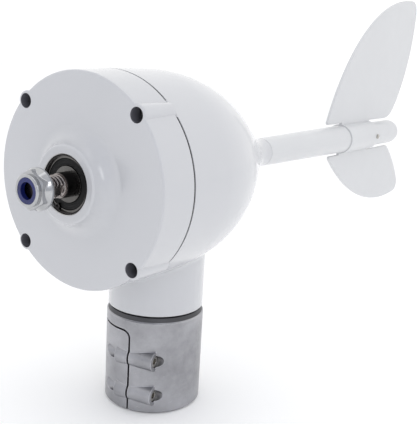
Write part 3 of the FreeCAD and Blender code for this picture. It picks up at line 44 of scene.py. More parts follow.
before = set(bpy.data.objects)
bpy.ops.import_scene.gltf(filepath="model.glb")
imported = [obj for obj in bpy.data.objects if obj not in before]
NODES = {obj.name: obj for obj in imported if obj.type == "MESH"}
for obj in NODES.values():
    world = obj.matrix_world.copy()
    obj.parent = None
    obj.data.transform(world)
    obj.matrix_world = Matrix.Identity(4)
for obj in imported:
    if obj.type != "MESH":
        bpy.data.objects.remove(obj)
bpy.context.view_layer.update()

SHAFT_LOW, SHAFT_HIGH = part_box("rotor_shaft")
NUT_LOW, NUT_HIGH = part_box("hub_nut")
SEAL_LOW, SEAL_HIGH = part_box("front_bearing_seals")
AXIS_HEIGHT = (SHAFT_LOW.z + SHAFT_HIGH.z) / 2
MM = 0.001
AXIS_PLACE = (0, 0, AXIS_HEIGHT)
UPRIGHT_PLACE = (0, 0, 0)
SCREW_CIRCLE = 82.8 * MM
BORE_RADIUS = 6.05 * MM
BARE_RIM_RADIUS = 24.35 * MM
SHADED_SHOULDER_HEIGHT = 86.75 * MM
SHOULDER_FROM_TIP = 26.6 * MM
COLLAR_FRONT, COLLAR_BACK = -0.1018, -0.0978  # the shaft's thrust collar
REAR_SEAT = -0.044
FLOOR_DROP = 0.6 * MM  # clear of the clamp's foot
ROOM_DIM_WAY = (0.55, -0.80, 0.15)


# ---------------------------------------------------------------- sizes and colours a user may change
def length(name, description, value):
    return FloatProperty(name=name, description=description, default=value, unit="LENGTH", precision=5)


def colour(name, description, value):
    return FloatVectorProperty(name=name, description=description, default=value,
                               subtype="COLOR", min=0, max=1)


def share(name, description, value):
    return FloatProperty(name=name, description=description, default=value, min=0, max=1, subtype="FACTOR")


def angle(name, description, degrees):
    return FloatProperty(name=name, description=description, default=math.radians(degrees), subtype="ANGLE")


class TurbineFinishes(bpy.types.PropertyGroup):
    """Colours and gloss of the turbine head's finishes, and colours of painted shade in the cover's bores,
    the stud's thread roots and the clamp's shoulder.
    """
    paint: colour("Paint", "White powder coat of housing and cover", (0.555, 0.56, 0.58))
    paint_roughness: share("Paint roughness", "Roughness of the powder coat", 0.22)
    boom_paint: colour("Boom paint", "White coat of boom and fin", (0.64, 0.645, 0.655))
    casting: colour("Casting", "Bare aluminium of the clamp", (0.375, 0.375, 0.395))
    casting_roughness: share("Casting roughness", "Roughness of the clamp's surface", 0.34)
    stainless: colour("Stainless", "Stainless screws", (0.50, 0.48, 0.44))
    steel: colour("Steel", "Bare turned steel", (0.33, 0.30, 0.29))
    dark_steel: colour("Blackened steel", "Blackened face of the shaft", (0.028, 0.026, 0.026))
    ring_steel: colour("Bearing steel", "Ground bearing rings", (0.13, 0.125, 0.12))
    chrome: colour("Chrome", "Plating of the hub nut", (0.46, 0.465, 0.475))
    nylon: colour("Nylon", "Locking ring of the hub nut", (0.008, 0.014, 0.11))
    rubber: colour("Rubber", "Seals and gasket", (0.012, 0.012, 0.012))
    moulding: colour("Moulding", "Brush holder and insulators", (0.04, 0.04, 0.045))
    brass: colour("Brass", "Slip rings and terminals", (0.62, 0.42, 0.16))
    copper: colour("Copper", "Enamelled winding wire", (0.55, 0.20, 0.07))
    lead: colour("Lead", "Jackets of the phase leads", (0.45, 0.03, 0.02))
    iron: colour("Iron", "Rotor core and stator sheets", (0.16, 0.155, 0.15))
    magnet: colour("Magnet", "Nickel plate of the magnets", (0.48, 0.47, 0.45))
    # Painted shade: the bores over the cover screws are coloured dark grey to stand for the shade inside
    # them.
    bore_shade: colour("Bore", "Bores over the cover screws", (0.15, 0.15, 0.17))
    bare_rim: colour("Bare rim", "Machined rim around the front bearing", (0.5, 0.5, 0.5))
    # Painted shade: the clamp's top shoulder is coloured dark to stand for the shade under the neck's
    # overhang.
    shoulder: colour("Shoulder", "Dark shoulder on top of the clamp", (0.09, 0.09, 0.095))
    # Painted shade: the roots of the stud's thread are coloured dark to stand for the shade in the grooves.
    thread_root_shade: colour("Thread root", "Dark roots of the stud's thread", (0.035, 0.03, 0.03))
    cover_screw: colour("Cover screw", "Heads of the sunk cover screws", (0.2, 0.195, 0.19))
    carbon: colour("Carbon", "Pressed carbon of the brushes", (0.02, 0.02, 0.021))


class TurbineSizes(bpy.types.PropertyGroup):
    """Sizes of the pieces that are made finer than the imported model."""
    thread_pitch: length("Thread pitch", "From one thread to the next on the stud", 3.4 * MM)
    thread_depth: length("Thread depth", "Crest to root", 1.5 * MM)
    stud_radius: length("Stud radius", "Crest of the thread", 9 * MM)
    flat_depth: length("Flat", "The milled flat, from the stud's axis", 6.6 * MM)
    flat_end: length("Flat end", "From the stud's shoulder to the flat's end", 1.3 * MM)
    flat_angle: angle("Flat direction", "Direction of the flat below level", 21)
    nut_flats: length("Across flats", "Hub nut across flats", 27 * MM)
    coil_wire: length("Winding wire", "Diameter of the winding wire", 1.1 * MM)
    spring_wire: length("Spring wire", "Diameter of the brush springs' wire", 0.5 * MM)
    spring_turns: IntProperty(name="Spring turns", description="Turns of a brush spring", default=7, min=2)


class TurbineStudio(bpy.types.PropertyGroup):
    """Camera, floor and light."""
    camera_azimuth: angle("Azimuth", "Camera's turn about the vertical", 34.343)
    camera_elevation: angle("Elevation", "Camera's height angle", 12.910)
    camera_roll: angle("Roll", "Camera's roll", 3.295)
    camera_place: FloatVectorProperty(name="Place", description="Camera's place", subtype="XYZ",
                                      unit="LENGTH", default=(0.40324, -0.51115, 0.32853), precision=5)
    camera_lens: FloatProperty(name="Lens", description="Focal length in millimetres", default=62.29, min=10)
    dome_light: FloatProperty(name="Dome", description="Strength of the white surroundings",
                              default=1.11, min=0)
    dim_side: colour("Dim side", "Colour of the room's dimmer side", (0.68, 0.70, 0.755))
    floor: colour("Floor", "Pale floor", (0.95, 0.95, 0.95))
    floor_half: length("Floor size", "Half the floor's width", 6.0)


# ---------------------------------------------------------------- materials
class Finish:
    """A material under construction: its node tree, and short calls for the nodes it needs."""

    def __init__(self, name, base, roughness, metallic=0.0):
        self.material = bpy.data.materials.new(name)
        self.material.use_nodes = True
        self.nodes = self.material.node_tree.nodes
        self.links = self.material.node_tree.links
        self.shader = self.nodes["Principled BSDF"]
        self.shader.inputs["Base Color"].default_value = (*base, 1)
        self.shader.inputs["Roughness"].default_value = roughness
        self.shader.inputs["Metallic"].default_value = metallic
        self.base = base
        self.place = self.nodes.new("ShaderNodeTexCoord").outputs["Object"]
        self.normal = None

    def join(self, source, target):
        self.links.new(source, target)

    def moved(self, place, stretch=(1, 1, 1)):
        """Object coordinates measured from a point, stretched along the axes."""
        node = self.nodes.new("ShaderNodeMapping")
        node.inputs["Location"].default_value = [-p * s for p, s in zip(place, stretch)]
        node.inputs["Scale"].default_value = stretch
        self.join(self.place, node.inputs["Vector"])
        return node.outputs["Vector"]

    def noise(self, size, detail=3.0, where=None, rough=0.5):
        """Noise whose blotches are about size metres wide."""
        node = self.nodes.new("ShaderNodeTexNoise")
        node.inputs["Scale"].default_value = 0.5 / size
        node.inputs["Detail"].default_value = detail
        node.inputs["Roughness"].default_value = rough
        self.join(where or self.place, node.inputs["Vector"])
        return node.outputs["Fac"]

    def cells(self, size):
        """Distance to the nearest of scattered points about size metres apart."""
        node = self.nodes.new("ShaderNodeTexVoronoi")
        node.inputs["Scale"].default_value = 1 / size
        self.join(self.place, node.inputs["Vector"])
        return node.outputs["Distance"]

    def rings(self, size, where, direction="Y", kind="RINGS", distortion=0.0):
        """Turning marks: rings about an axis, or bands along it."""
        node = self.nodes.new("ShaderNodeTexWave")
        node.wave_type = kind
        if kind == "RINGS":
            node.rings_direction = direction
        else:
            node.bands_direction = direction
        node.inputs["Scale"].default_value = 0.314 / size
        node.inputs["Distortion"].default_value = distortion
        node.inputs["Detail"].default_value = 2
        self.join(where, node.inputs["Vector"])
        return node.outputs["Fac"]

    def ramp(self, source, low, high, first, last):
        """A value spread from one number to another."""
        node = self.nodes.new("ShaderNodeMapRange")
        node.inputs["From Min"].default_value = low
        node.inputs["From Max"].default_value = high
        node.inputs["To Min"].default_value = first
        node.inputs["To Max"].default_value = last
        self.join(source, node.inputs["Value"])
        return node.outputs["Result"]

    def tint(self, source, low, high, dark, light):
        """Colour that varies between two shades of the base colour."""
        node = self.nodes.new("ShaderNodeValToRGB")
        for stop, place, part in zip(node.color_ramp.elements, (low, high), (dark, light)):
            stop.position = place
            stop.color = (*[min(1, channel * part) for channel in self.base], 1)
        self.join(source, node.inputs["Fac"])
        self.colour(node.outputs["Color"])
        return node.outputs["Color"]

    def colour(self, source):
        self.join(source, self.shader.inputs["Base Color"])

    def blend(self, share_of, first, second):
        """Mix of two colours by a share."""
        node = self.nodes.new("ShaderNodeMix")
        node.data_type = "RGBA"
        self.join(share_of, node.inputs["Factor"])
        for value, socket in ((first, node.inputs[6]), (second, node.inputs[7])):
            if isinstance(value, tuple):
                socket.default_value = (*value, 1)
            else:
                self.join(value, socket)
        return node.outputs[2]

    def gloss(self, source, low, high, smooth, rough):
        """Roughness that follows a texture between two values."""
        self.join(self.ramp(source, low, high, smooth, rough), self.shader.inputs["Roughness"])

    def relief(self, source, height, strength):
        """Bump of a given height in metres, added to what is there already."""
        node = self.nodes.new("ShaderNodeBump")
        node.inputs["Strength"].default_value = strength
        node.inputs["Distance"].default_value = height
        self.join(source, node.inputs["Height"])
        if self.normal is not None:
            self.join(self.normal, node.inputs["Normal"])
        self.normal = node.outputs["Normal"]
        self.join(self.normal, self.shader.inputs["Normal"])

    def soft_edges(self, radius):
        """Edges that look rounded by radius metres."""
        node = self.nodes.new("ShaderNodeBevel")
        node.samples = 6
        node.inputs["Radius"].default_value = radius
        self.normal = node.outputs["Normal"]
        self.join(self.normal, self.shader.inputs["Normal"])

    def worn_edges(self, radius):
        """Share of wear: one at sharp edges, none on open surfaces."""
        bevel = self.nodes.new("ShaderNodeBevel")
        bevel.samples = 6
        bevel.inputs["Radius"].default_value = radius
        flat = self.nodes.new("ShaderNodeNewGeometry")
        dot = self.nodes.new("ShaderNodeVectorMath")
        dot.operation = "DOT_PRODUCT"
        self.join(bevel.outputs["Normal"], dot.inputs[0])
        self.join(flat.outputs["Normal"], dot.inputs[1])
        return self.ramp(dot.outputs["Value"], 0.995, 0.9, 0, 1)

    def vector(self, operation, source, value=None):
        """A vector sum on a socket, with a constant as its second term."""
        node = self.nodes.new("ShaderNodeVectorMath")
        node.operation = operation
        self.join(source, node.inputs[0])
        if value is not None:
            node.inputs[1].default_value = value
        return node.outputs["Value" if operation in ("LENGTH", "DOT_PRODUCT") else "Vector"]

    def compare(self, operation, source, value):
        """One where the comparison with a constant holds, else nought."""
        node = self.nodes.new("ShaderNodeMath")
        node.operation = operation
        self.join(source, node.inputs[0])
        node.inputs[1].default_value = value
        return node.outputs["Value"]

    def column(self, aside, radius, fourfold=False):
        """One inside a column along Y, aside from the rotor axis, and nought outside it."""
        place = self.vector("SUBTRACT", self.place, AXIS_PLACE)
        if fourfold:
            place = self.vector("ABSOLUTE", place)
        place = self.vector("SUBTRACT", place, (aside, 0, aside))
        across = self.vector("MULTIPLY", place, (1, 0, 1))
        return self.compare("LESS_THAN", self.vector("LENGTH", across), radius)

    def above(self, height):
        """One above a height in the object's own coordinates."""
        return self.compare("GREATER_THAN", self.vector("DOT_PRODUCT", self.place, (0, 0, 1)), height)

    def patch(self, mask, base, roughness, metallic):
        """Another finish wherever the mask is one."""
        for name, value in (("Base Color", (*base, 1)), ("Roughness", roughness), ("Metallic", metallic)):
            socket = self.shader.inputs[name]
            node = self.nodes.new("ShaderNodeMix")
            first, second, result = (6, 7, 2) if name == "Base Color" else (2, 3, 0)
            node.data_type = "RGBA" if name == "Base Color" else "FLOAT"
            self.join(mask, node.inputs["Factor"])
            if socket.is_linked:
                self.join(socket.links[0].from_socket, node.inputs[first])
            else:
                node.inputs[first].default_value = socket.default_value
            node.inputs[second].default_value = value
            self.join(node.outputs[result], socket)

    def coat(self, weight, roughness):
        self.shader.inputs["Coat Weight"].default_value = weight
        self.shader.inputs["Coat Roughness"].default_value = roughness


def powder_coat(name, base, roughness, coat):
    """Gloss powder coat: orange peel, fine grain and a faint unevenness of shade."""
    made = Finish(name, base, roughness)
    made.soft_edges(0.5 * MM)
    made.tint(made.noise(60 * MM), 0.3, 0.7, 0.985, 1.015)
    made.gloss(made.noise(9 * MM, 4), 0.3, 0.7, roughness * 0.85, roughness * 1.2)
    made.relief(made.noise(1.6 * MM, 1), 0.02 * MM, 0.5)
    made.relief(made.noise(0.25 * MM, 2), 0.004 * MM, 0.5)
    made.coat(coat, 0.06)
    return made


def clamp_casting(base, roughness):
    """Blasted aluminium casting: mottled, faintly pitted, bright where edges are worn."""
    made = Finish("clamp_casting", base, roughness, 1.0)
    made.soft_edges(0.45 * MM)
    clouds = made.noise(16 * MM, 5, rough=0.62)
    mottled = made.tint(clouds, 0.3, 0.72, 0.74, 1.18)
    grain = made.noise(0.8 * MM, 3)
    made.gloss(grain, 0.3, 0.75, roughness * 0.8, roughness * 1.25)
    bright = tuple(min(1, channel * 1.9) for channel in base)
    made.colour(made.blend(made.worn_edges(0.5 * MM), mottled, bright))
    made.relief(made.noise(2.2 * MM, 4), 0.05 * MM, 0.55)
    made.relief(made.cells(0.7 * MM), 0.03 * MM, 0.25)
    return made


def turned_metal(name, base, roughness, ring_size=0.35 * MM, where=AXIS_PLACE, direction="Y", wear=1.5):
    """Turned or ground metal with rings, smears and worn edges."""
    made = Finish(name, base, roughness, 1.0)
    made.soft_edges(0.15 * MM)
    place = made.moved(where)
    rings = made.rings(ring_size, place, direction, distortion=1.2)
    smears = made.noise(5 * MM, 4)
    shade = made.tint(smears, 0.3, 0.7, 0.82, 1.12)
    bright = tuple(min(1, channel * wear) for channel in base)
    made.colour(made.blend(made.worn_edges(0.2 * MM), shade, bright))
    made.gloss(smears, 0.3, 0.7, roughness * 0.75, roughness * 1.3)
    made.relief(rings, 0.006 * MM, 0.5)
    return made.material


def plated(base):
    """Bright plating with faint polishing marks."""
    made = Finish("chrome_plate", base, 0.09, 1.0)
    made.soft_edges(0.2 * MM)
    made.tint(made.noise(3 * MM, 3), 0.3, 0.7, 0.92, 1.04)
    made.gloss(made.noise(2 * MM, 5), 0.35, 0.75, 0.06, 0.16)
    fine = made.moved(AXIS_PLACE, (1, 6, 1))
    made.relief(made.noise(0.6 * MM, 3, fine), 0.006 * MM, 0.4)
    return made.material


def moulded(name, base, roughness, grain=0.5 * MM, height=0.012 * MM):
    """Moulded plastic or rubber: fine grain, slight variation of shade and gloss."""
    made = Finish(name, base, roughness)
    made.soft_edges(0.2 * MM)
    made.tint(made.noise(4 * MM, 3), 0.3, 0.7, 0.8, 1.25)
    made.gloss(made.noise(2 * MM, 3), 0.3, 0.7, roughness * 0.85, roughness * 1.15)
    made.relief(made.noise(grain, 3), height, 0.6)
    return made.material


def stacked_sheets(base):
    """Stator stack: edges of thin sheets pressed together."""
    made = Finish("stator_sheets", base, 0.5, 0.9)
    sheets = made.rings(0.5 * MM, made.place, "Y", "BANDS", 0.2)
    made.tint(sheets, 0.2, 0.8, 0.6, 1.2)
    made.gloss(made.noise(3 * MM), 0.3, 0.7, 0.4, 0.6)
    made.relief(sheets, 0.05 * MM, 0.7)
    return made.material


def rough_iron(base):
    """Machined iron with a thin dark skin."""
    made = Finish("machined_iron", base, 0.45, 0.9)
    made.soft_edges(0.3 * MM)
    made.tint(made.noise(6 * MM, 5), 0.3, 0.7, 0.7, 1.25)
    made.gloss(made.noise(1.5 * MM, 3), 0.3, 0.7, 0.35, 0.55)
    made.relief(made.noise(0.6 * MM, 4), 0.03 * MM, 0.5)
    return made.material


def winding_wire(base):
    """Enamelled wire: glossy coat over copper."""
    made = Finish("winding_wire", base, 0.28, 0.85)
    made.tint(made.noise(2 * MM, 3), 0.3, 0.7, 0.75, 1.2)
    made.gloss(made.noise(1 * MM), 0.3, 0.7, 0.22, 0.36)
    made.relief(made.noise(0.4 * MM, 2), 0.01 * MM, 0.4)
    made.coat(0.6, 0.12)
    return made.material


def pressed_carbon(base):
    """Graphite block: dark, dull, with glints in its grain."""
    made = Finish("pressed_carbon", base, 0.6)
    made.tint(made.noise(0.4 * MM, 4), 0.4, 0.75, 0.6, 2.2)
    made.gloss(made.noise(0.5 * MM, 3), 0.3, 0.7, 0.45, 0.7)
    made.relief(made.noise(0.3 * MM, 3), 0.02 * MM, 0.5)
    return made.material


def give(node, material):
    """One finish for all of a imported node's material slots."""
    for slot in NODES[node].material_slots:
        slot.material = material


# ---------------------------------------------------------------- shapes
def put(name, points, faces, material, body, nodes, sharp):
    """A mesh piece in the model's own frame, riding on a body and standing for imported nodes."""
    mesh = bpy.data.meshes.new(name)
    mesh.from_pydata(points, [], faces)
    mesh.validate()
    mesh.materials.append(material)
    mesh.shade_smooth()
    mesh.set_sharp_from_angle(angle=math.radians(sharp))
    piece = bpy.data.objects.new(name, mesh)
    bpy.context.scene.collection.objects.link(piece)
    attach(piece, body)
    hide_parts(*nodes)
    return piece


def lathe(stations, segments, closed):
    """Rings about the rotor axis. A station is (place, radius) or (place, function of the angle).

    A closed lathe joins its last ring to its first; an open one is capped at both ends.
    """
    points = []
    for place, radius in stations:
        for k in range(segments):
            turn = 2 * math.pi * k / segments
            reach = radius(turn) if callable(radius) else radius
            points.append((reach * math.cos(turn), place, AXIS_HEIGHT + reach * math.sin(turn)))
    faces = []
    count = len(stations)
    for ring in range(count if closed else count - 1):
        after = (ring + 1) % count
        for k in range(segments):
            beside = (k + 1) % segments
            faces.append((ring * segments + k, after * segments + k,
                          after * segments + beside, ring * segments + beside))
    if not closed:
        faces.append(tuple(range(segments)))
        faces.append(tuple((count - 1) * segments + k for k in reversed(range(segments))))
    return points, faces


def steps(low, high, size):
    """Evenly spaced places from low to high, both included."""
    count = max(1, round(abs(high - low) / size))
    return [low + (high - low) * k / count for k in range(count + 1)]


def thread_profile(phase):
    """Thread form over one pitch: 1 on the crest, 0 at the root."""
    phase = phase % 1.0
    crest, root = 0.16, 0.22
    slope = (1 - crest - root) / 2
    if phase < crest:
        return 1.0
    if phase < crest + slope:
        return 1 - (phase - crest) / slope
    if phase < crest + slope + root:
        return 0.0
    return (phase - crest - slope - root) / slope


class TurbineOperator(bpy.types.Operator):
    """Shared ground of the turbine head's operators."""
    bl_options = {"REGISTER", "UNDO"}

    def settings(self, context):
        scene = context.scene
        return scene.turbine_finishes, scene.turbine_sizes


class TURBINE_OT_paintwork(TurbineOperator):
    """Paint housing, cover, boom, fin and end cap"""
    bl_idname = "turbine.paintwork"
    bl_label = "Paintwork"

    def execute(self, context):
        finishes, _ = self.settings(context)
        paint = tuple(finishes.paint)
        gloss = powder_coat("gloss_white", paint, finishes.paint_roughness, 0.6)
        cover = powder_coat("cover_white", paint, finishes.paint_roughness, 0.6)
        aside = SCREW_CIRCLE * math.sqrt(0.5)
        # Painted shade: dark grey in the bores over the four cover screws, standing for the shade inside
        # them.
        cover.patch(cover.column(aside, BORE_RADIUS, True), tuple(finishes.bore_shade), 0.45, 0)
        cover.patch(cover.column(0, BARE_RIM_RADIUS), tuple(finishes.bare_rim), 0.3, 1)
        satin = powder_coat("satin_white", tuple(finishes.boom_paint), 0.34, 0.25)
        give("main_housing", gloss.material)
        give("front_cover", cover.material)
        for node in ("tail_boom", "tail_fin", "boom_end_cap"):
            give(node, satin.material)
        return {"FINISHED"}


class TURBINE_OT_clamp(TurbineOperator):
    """Finish the clamp collar, its screws and what stands on it"""
    bl_idname = "turbine.clamp"
    bl_label = "Clamp"

    def execute(self, context):
        finishes, _ = self.settings(context)
        collar = clamp_casting(tuple(finishes.casting), finishes.casting_roughness)
        # Painted shade: dark metal on the collar above this height, standing for the shadow under the neck.
        collar.patch(collar.above(SHADED_SHOULDER_HEIGHT), tuple(finishes.shoulder), 0.45, 1)
        give("clamp_collar", collar.material)
        give("clamp_screws", turned_metal("clamp_screw_steel", tuple(finishes.stainless), 0.25, 0.3 * MM,
                                          UPRIGHT_PLACE, "X"))
        upright = turned_metal("turned_steel_upright", tuple(finishes.steel), 0.3, 0.4 * MM,
                               UPRIGHT_PLACE, "Z")
        for node in ("yaw_spindle", "yaw_inner_spacer", "yaw_outer_spacer", "yaw_lock_nut"):
            give(node, upright)
        ground = turned_metal("ground_steel_upright", tuple(finishes.ring_steel), 0.16, 0.3 * MM,
                              UPRIGHT_PLACE, "Z")
        for node in ("yaw_bearing_inner_rings", "yaw_bearing_outer_rings", "yaw_bearing_balls"):
            give(node, ground)
        black = turned_metal("blackened_screws", tuple(finishes.dark_steel), 0.35, 0.3 * MM,
                             UPRIGHT_PLACE, "Z", 3)
        for node in ("spindle_screws", "boom_set_screw", "neck_circlip"):
            give(node, black)
        rubber = moulded("seal_rubber", tuple(finishes.rubber), 0.55)
        for node in ("lead_grommet", "neck_dust_seal", "seam_gasket"):
            give(node, rubber)
        return {"FINISHED"}


class TURBINE_OT_stud(TurbineOperator):
    """Shaft with a cut thread and a milled flat on its stud"""
    bl_idname = "turbine.stud"
    bl_label = "Threaded stud"

    def execute(self, context):
        finishes, sizes = self.settings(context)
        tip = SHAFT_LOW.y
        shoulder = tip + SHOULDER_FROM_TIP
        flat_end = shoulder - sizes.flat_end
        cutter = sizes.flat_depth
        crest, depth, pitch = sizes.stud_radius, sizes.thread_depth, sizes.thread_pitch

        def reach(place):
            def radius(turn):
                cut = thread_profile(place / pitch + turn / (2 * math.pi))
                size = crest - depth * (1 - cut)
                run_in = crest - depth * 1.2 + (place - tip)
                run_out = crest - max(0.0, place - shoulder + 1.2 * MM) * 0.6
                size = min(size, run_in, run_out)
                toward = math.cos(turn + sizes.flat_angle)
                if toward * size > sizes.flat_depth:
                    side = abs(math.tan(math.acos(min(1.0, toward)))) * sizes.flat_depth
                    before = flat_end - cutter - place
                    inside = before > 0 or before * before + side * side < cutter * cutter
                    if inside:
                        size = sizes.flat_depth / toward
                return size
            return radius

        stations = [(tip, crest - depth * 1.3)]
        stations += [(place, reach(place))
                     for place in steps(tip + 0.05 * MM, shoulder - 0.01 * MM, 0.2 * MM)]
        low = SHAFT_HIGH.y
        body = [
            (shoulder, 9.6), (shoulder + 0.4 * MM, 10), (COLLAR_FRONT, 10), (COLLAR_FRONT, 13.4),
            (COLLAR_BACK, 13.4), (COLLAR_BACK, 11), (REAR_SEAT, 11), (REAR_SEAT, 8.5), (low, 8.5)]
        stations += [(place, radius * MM) for place, radius in body]
        points, faces = lathe(stations, 120, False)
        steel = turned_metal("stud_steel", tuple(finishes.steel), 0.24, 0.25 * MM)
        piece = put("threaded_shaft", points, faces, steel, "rotor", ("rotor_shaft",), 28)
        dark = turned_metal("shaft_face", tuple(finishes.dark_steel), 0.42, 0.8 * MM, wear=2.0)
        piece.data.materials.append(dark)
        # Painted shade: a dark material for the thread's roots, standing for the shade in the grooves.
        root = turned_metal("thread_roots", tuple(finishes.thread_root_shade), 0.35, 0.25 * MM)
        piece.data.materials.append(root)
        for polygon in piece.data.polygons:
            centre = polygon.center
            off_axis = math.hypot(centre.x, centre.z - AXIS_HEIGHT)
            turn = math.atan2(centre.z - AXIS_HEIGHT, centre.x)
            on_flat = off_axis * math.cos(turn + sizes.flat_angle) > sizes.flat_depth - 0.1 * MM
            if centre.y > shoulder - 0.005 * MM:
                polygon.material_index = 1
            # Polygons deep in the thread and off the flat get the painted root shade.
            elif off_axis < crest - depth * 0.55 and not on_flat:
                polygon.material_index = 2
        return {"FINISHED"}


class TURBINE_OT_hub_nut(TurbineOperator):
    """Flange nut with a rounded hexagon, and its nylon ring"""
    bl_idname = "turbine.hub_nut"
    bl_label = "Hub nut"

    def execute(self, context):
        finishes, sizes = self.settings(context)
        back, front = NUT_HIGH.y, NUT_LOW.y
        apothem = sizes.nut_flats / 2
        flange = (NUT_HIGH.x - NUT_LOW.x) / 2
        corner = apothem / math.cos(math.pi / 6) - 0.35 * MM
        cap_start = front + 2.8 * MM

        def hexagon(turn):
            across = (turn + math.pi / 6) % (math.pi / 3) - math.pi / 6
            return min(apothem / math.cos(across), corner)

        def skin(place):
            depth = back - place
            if depth < 0.4 * MM:
                skirt = flange - 0.4 * MM + math.sqrt(max(0, depth * (0.8 * MM - depth)))
            elif depth < 2 * MM:
                skirt = flange
            else:
                skirt = flange - (depth - 2 * MM) * 0.62
            slope = apothem + 0.15 * MM + (place - cap_start) * 1.7
            return lambda turn: max(skirt, min(hexagon(turn), slope))

        stations = [(place, skin(place)) for place in steps(back, cap_start, 0.2 * MM)]
        cap = 12.3 * MM
        round_over = 0.9 * MM
        stations.append((cap_start, cap))
        stations += [(front + round_over - round_over * math.sin(t), cap - round_over * (1 - math.cos(t)))
                     for t in steps(0, math.pi / 2, 0.26)]
        lip = 9.95 * MM
        stations += [(front, lip + 0.3 * MM), (front + 0.3 * MM, lip), (front + 4.5 * MM, lip),
                     (front + 4.5 * MM, 9 * MM), (back, 9 * MM)]
        points, faces = lathe(stations, 180, True)
        put("flange_nut", points, faces, plated(tuple(finishes.chrome)), "nut", ("hub_nut",), 24)
        give("nut_insert", moulded("nut_nylon", tuple(finishes.nylon), 0.3))
        return {"FINISHED"}


class TURBINE_OT_front_bearing(TurbineOperator):
    """Rings, ridged seals and circlip of the front bearing, and the rear bearing"""
    bl_idname = "turbine.front_bearing"
    bl_label = "Rotor bearings"

    def execute(self, context):
        finishes, _ = self.settings(context)
        ground = turned_metal("ground_steel", tuple(finishes.ring_steel), 0.22, 0.3 * MM)
        for node in ("front_bearing_inner_ring", "front_bearing_outer_ring", "rear_bearing_inner_ring",
                     "rear_bearing_outer_ring", "rotor_bearing_balls", "rear_bearing_spacer"):
            give(node, ground)
        spring = turned_metal("spring_steel", tuple(finishes.dark_steel), 0.25, 0.5 * MM, wear=6)
        for node in ("front_circlip", "preload_washer"):
            give(node, spring)
        outer = (SEAL_HIGH.x - SEAL_LOW.x) / 2
        inner = 14.65 * MM
        thick = 1.3 * MM
        ridges = [(0.0, 0.35), (0.08, 0.0), (0.16, 0.0), (0.2, 0.3), (0.26, 0.3), (0.3, 0.05), (0.55, 0.05),
                  (0.6, 0.28), (0.66, 0.28), (0.7, 0.05), (0.86, 0.05), (0.92, 0.35), (1.0, 0.45)]
        points, faces = [], []
        for outside, into in ((SEAL_LOW.y, 1), (SEAL_HIGH.y, -1)):
            face = [(outside + into * sunk * MM, inner + (outer - inner) * part) for part, sunk in ridges]
            back = [(outside + into * thick, outer), (outside + into * thick, inner)]
            more_points, more_faces = lathe(face + back, 120, True)
            faces += [tuple(k + len(points) for k in face_points) for face_points in more_faces]
            points += more_points
        black = moulded("bearing_rubber", tuple(finishes.rubber), 0.5)
        black.node_tree.nodes["Principled BSDF"].inputs["Specular IOR Level"].default_value = 0.2
        put("ridged_seals", points, faces, black, "head", ("front_bearing_seals",), 40)
        return {"FINISHED"}


def rounded_loop(half_wide, half_long, corner, count=6):
    """Points of a rectangle with round corners, in its own plane."""
    points = []
    for centre_x, centre_y, start in ((1, 1, 0), (-1, 1, 90), (-1, -1, 180), (1, -1, 270)):
        for k in range(count + 1):
            turn = math.radians(start + 90 * k / count)
            points.append((centre_x * (half_wide - corner) + corner * math.cos(turn),
                           centre_y * (half_long - corner) + corner * math.sin(turn)))
    return points


def tube(paths, radius, name, material, body, nodes, smooth=2, sides=3):
    """Round wires along paths, each a list of points, as one mesh piece."""
    curve = bpy.data.curves.new(name, "CURVE")
    curve.dimensions = "3D"
    curve.bevel_depth = radius
    curve.bevel_resolution = sides
    curve.resolution_u = smooth
    curve.use_fill_caps = True
    for points, cyclic in paths:
        spline = curve.splines.new("NURBS")
        spline.points.add(len(points) - 1)
        for spot, place in zip(spline.points, points):
            spot.co = (*place, 1)
        spline.order_u = 3
        spline.use_cyclic_u = cyclic
        spline.use_endpoint_u = not cyclic
    source = bpy.data.objects.new(name + "_line", curve)
    bpy.context.scene.collection.objects.link(source)
    bpy.context.view_layer.update()
    mesh = bpy.data.meshes.new_from_object(source.evaluated_get(bpy.context.evaluated_depsgraph_get()))
    bpy.data.objects.remove(source)
    mesh.name = name
    mesh.materials.clear()
    mesh.materials.append(material)
    mesh.shade_smooth()
    piece = bpy.data.objects.new(name, mesh)
    bpy.context.scene.collection.objects.link(piece)
    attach(piece, body)
    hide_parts(*nodes)


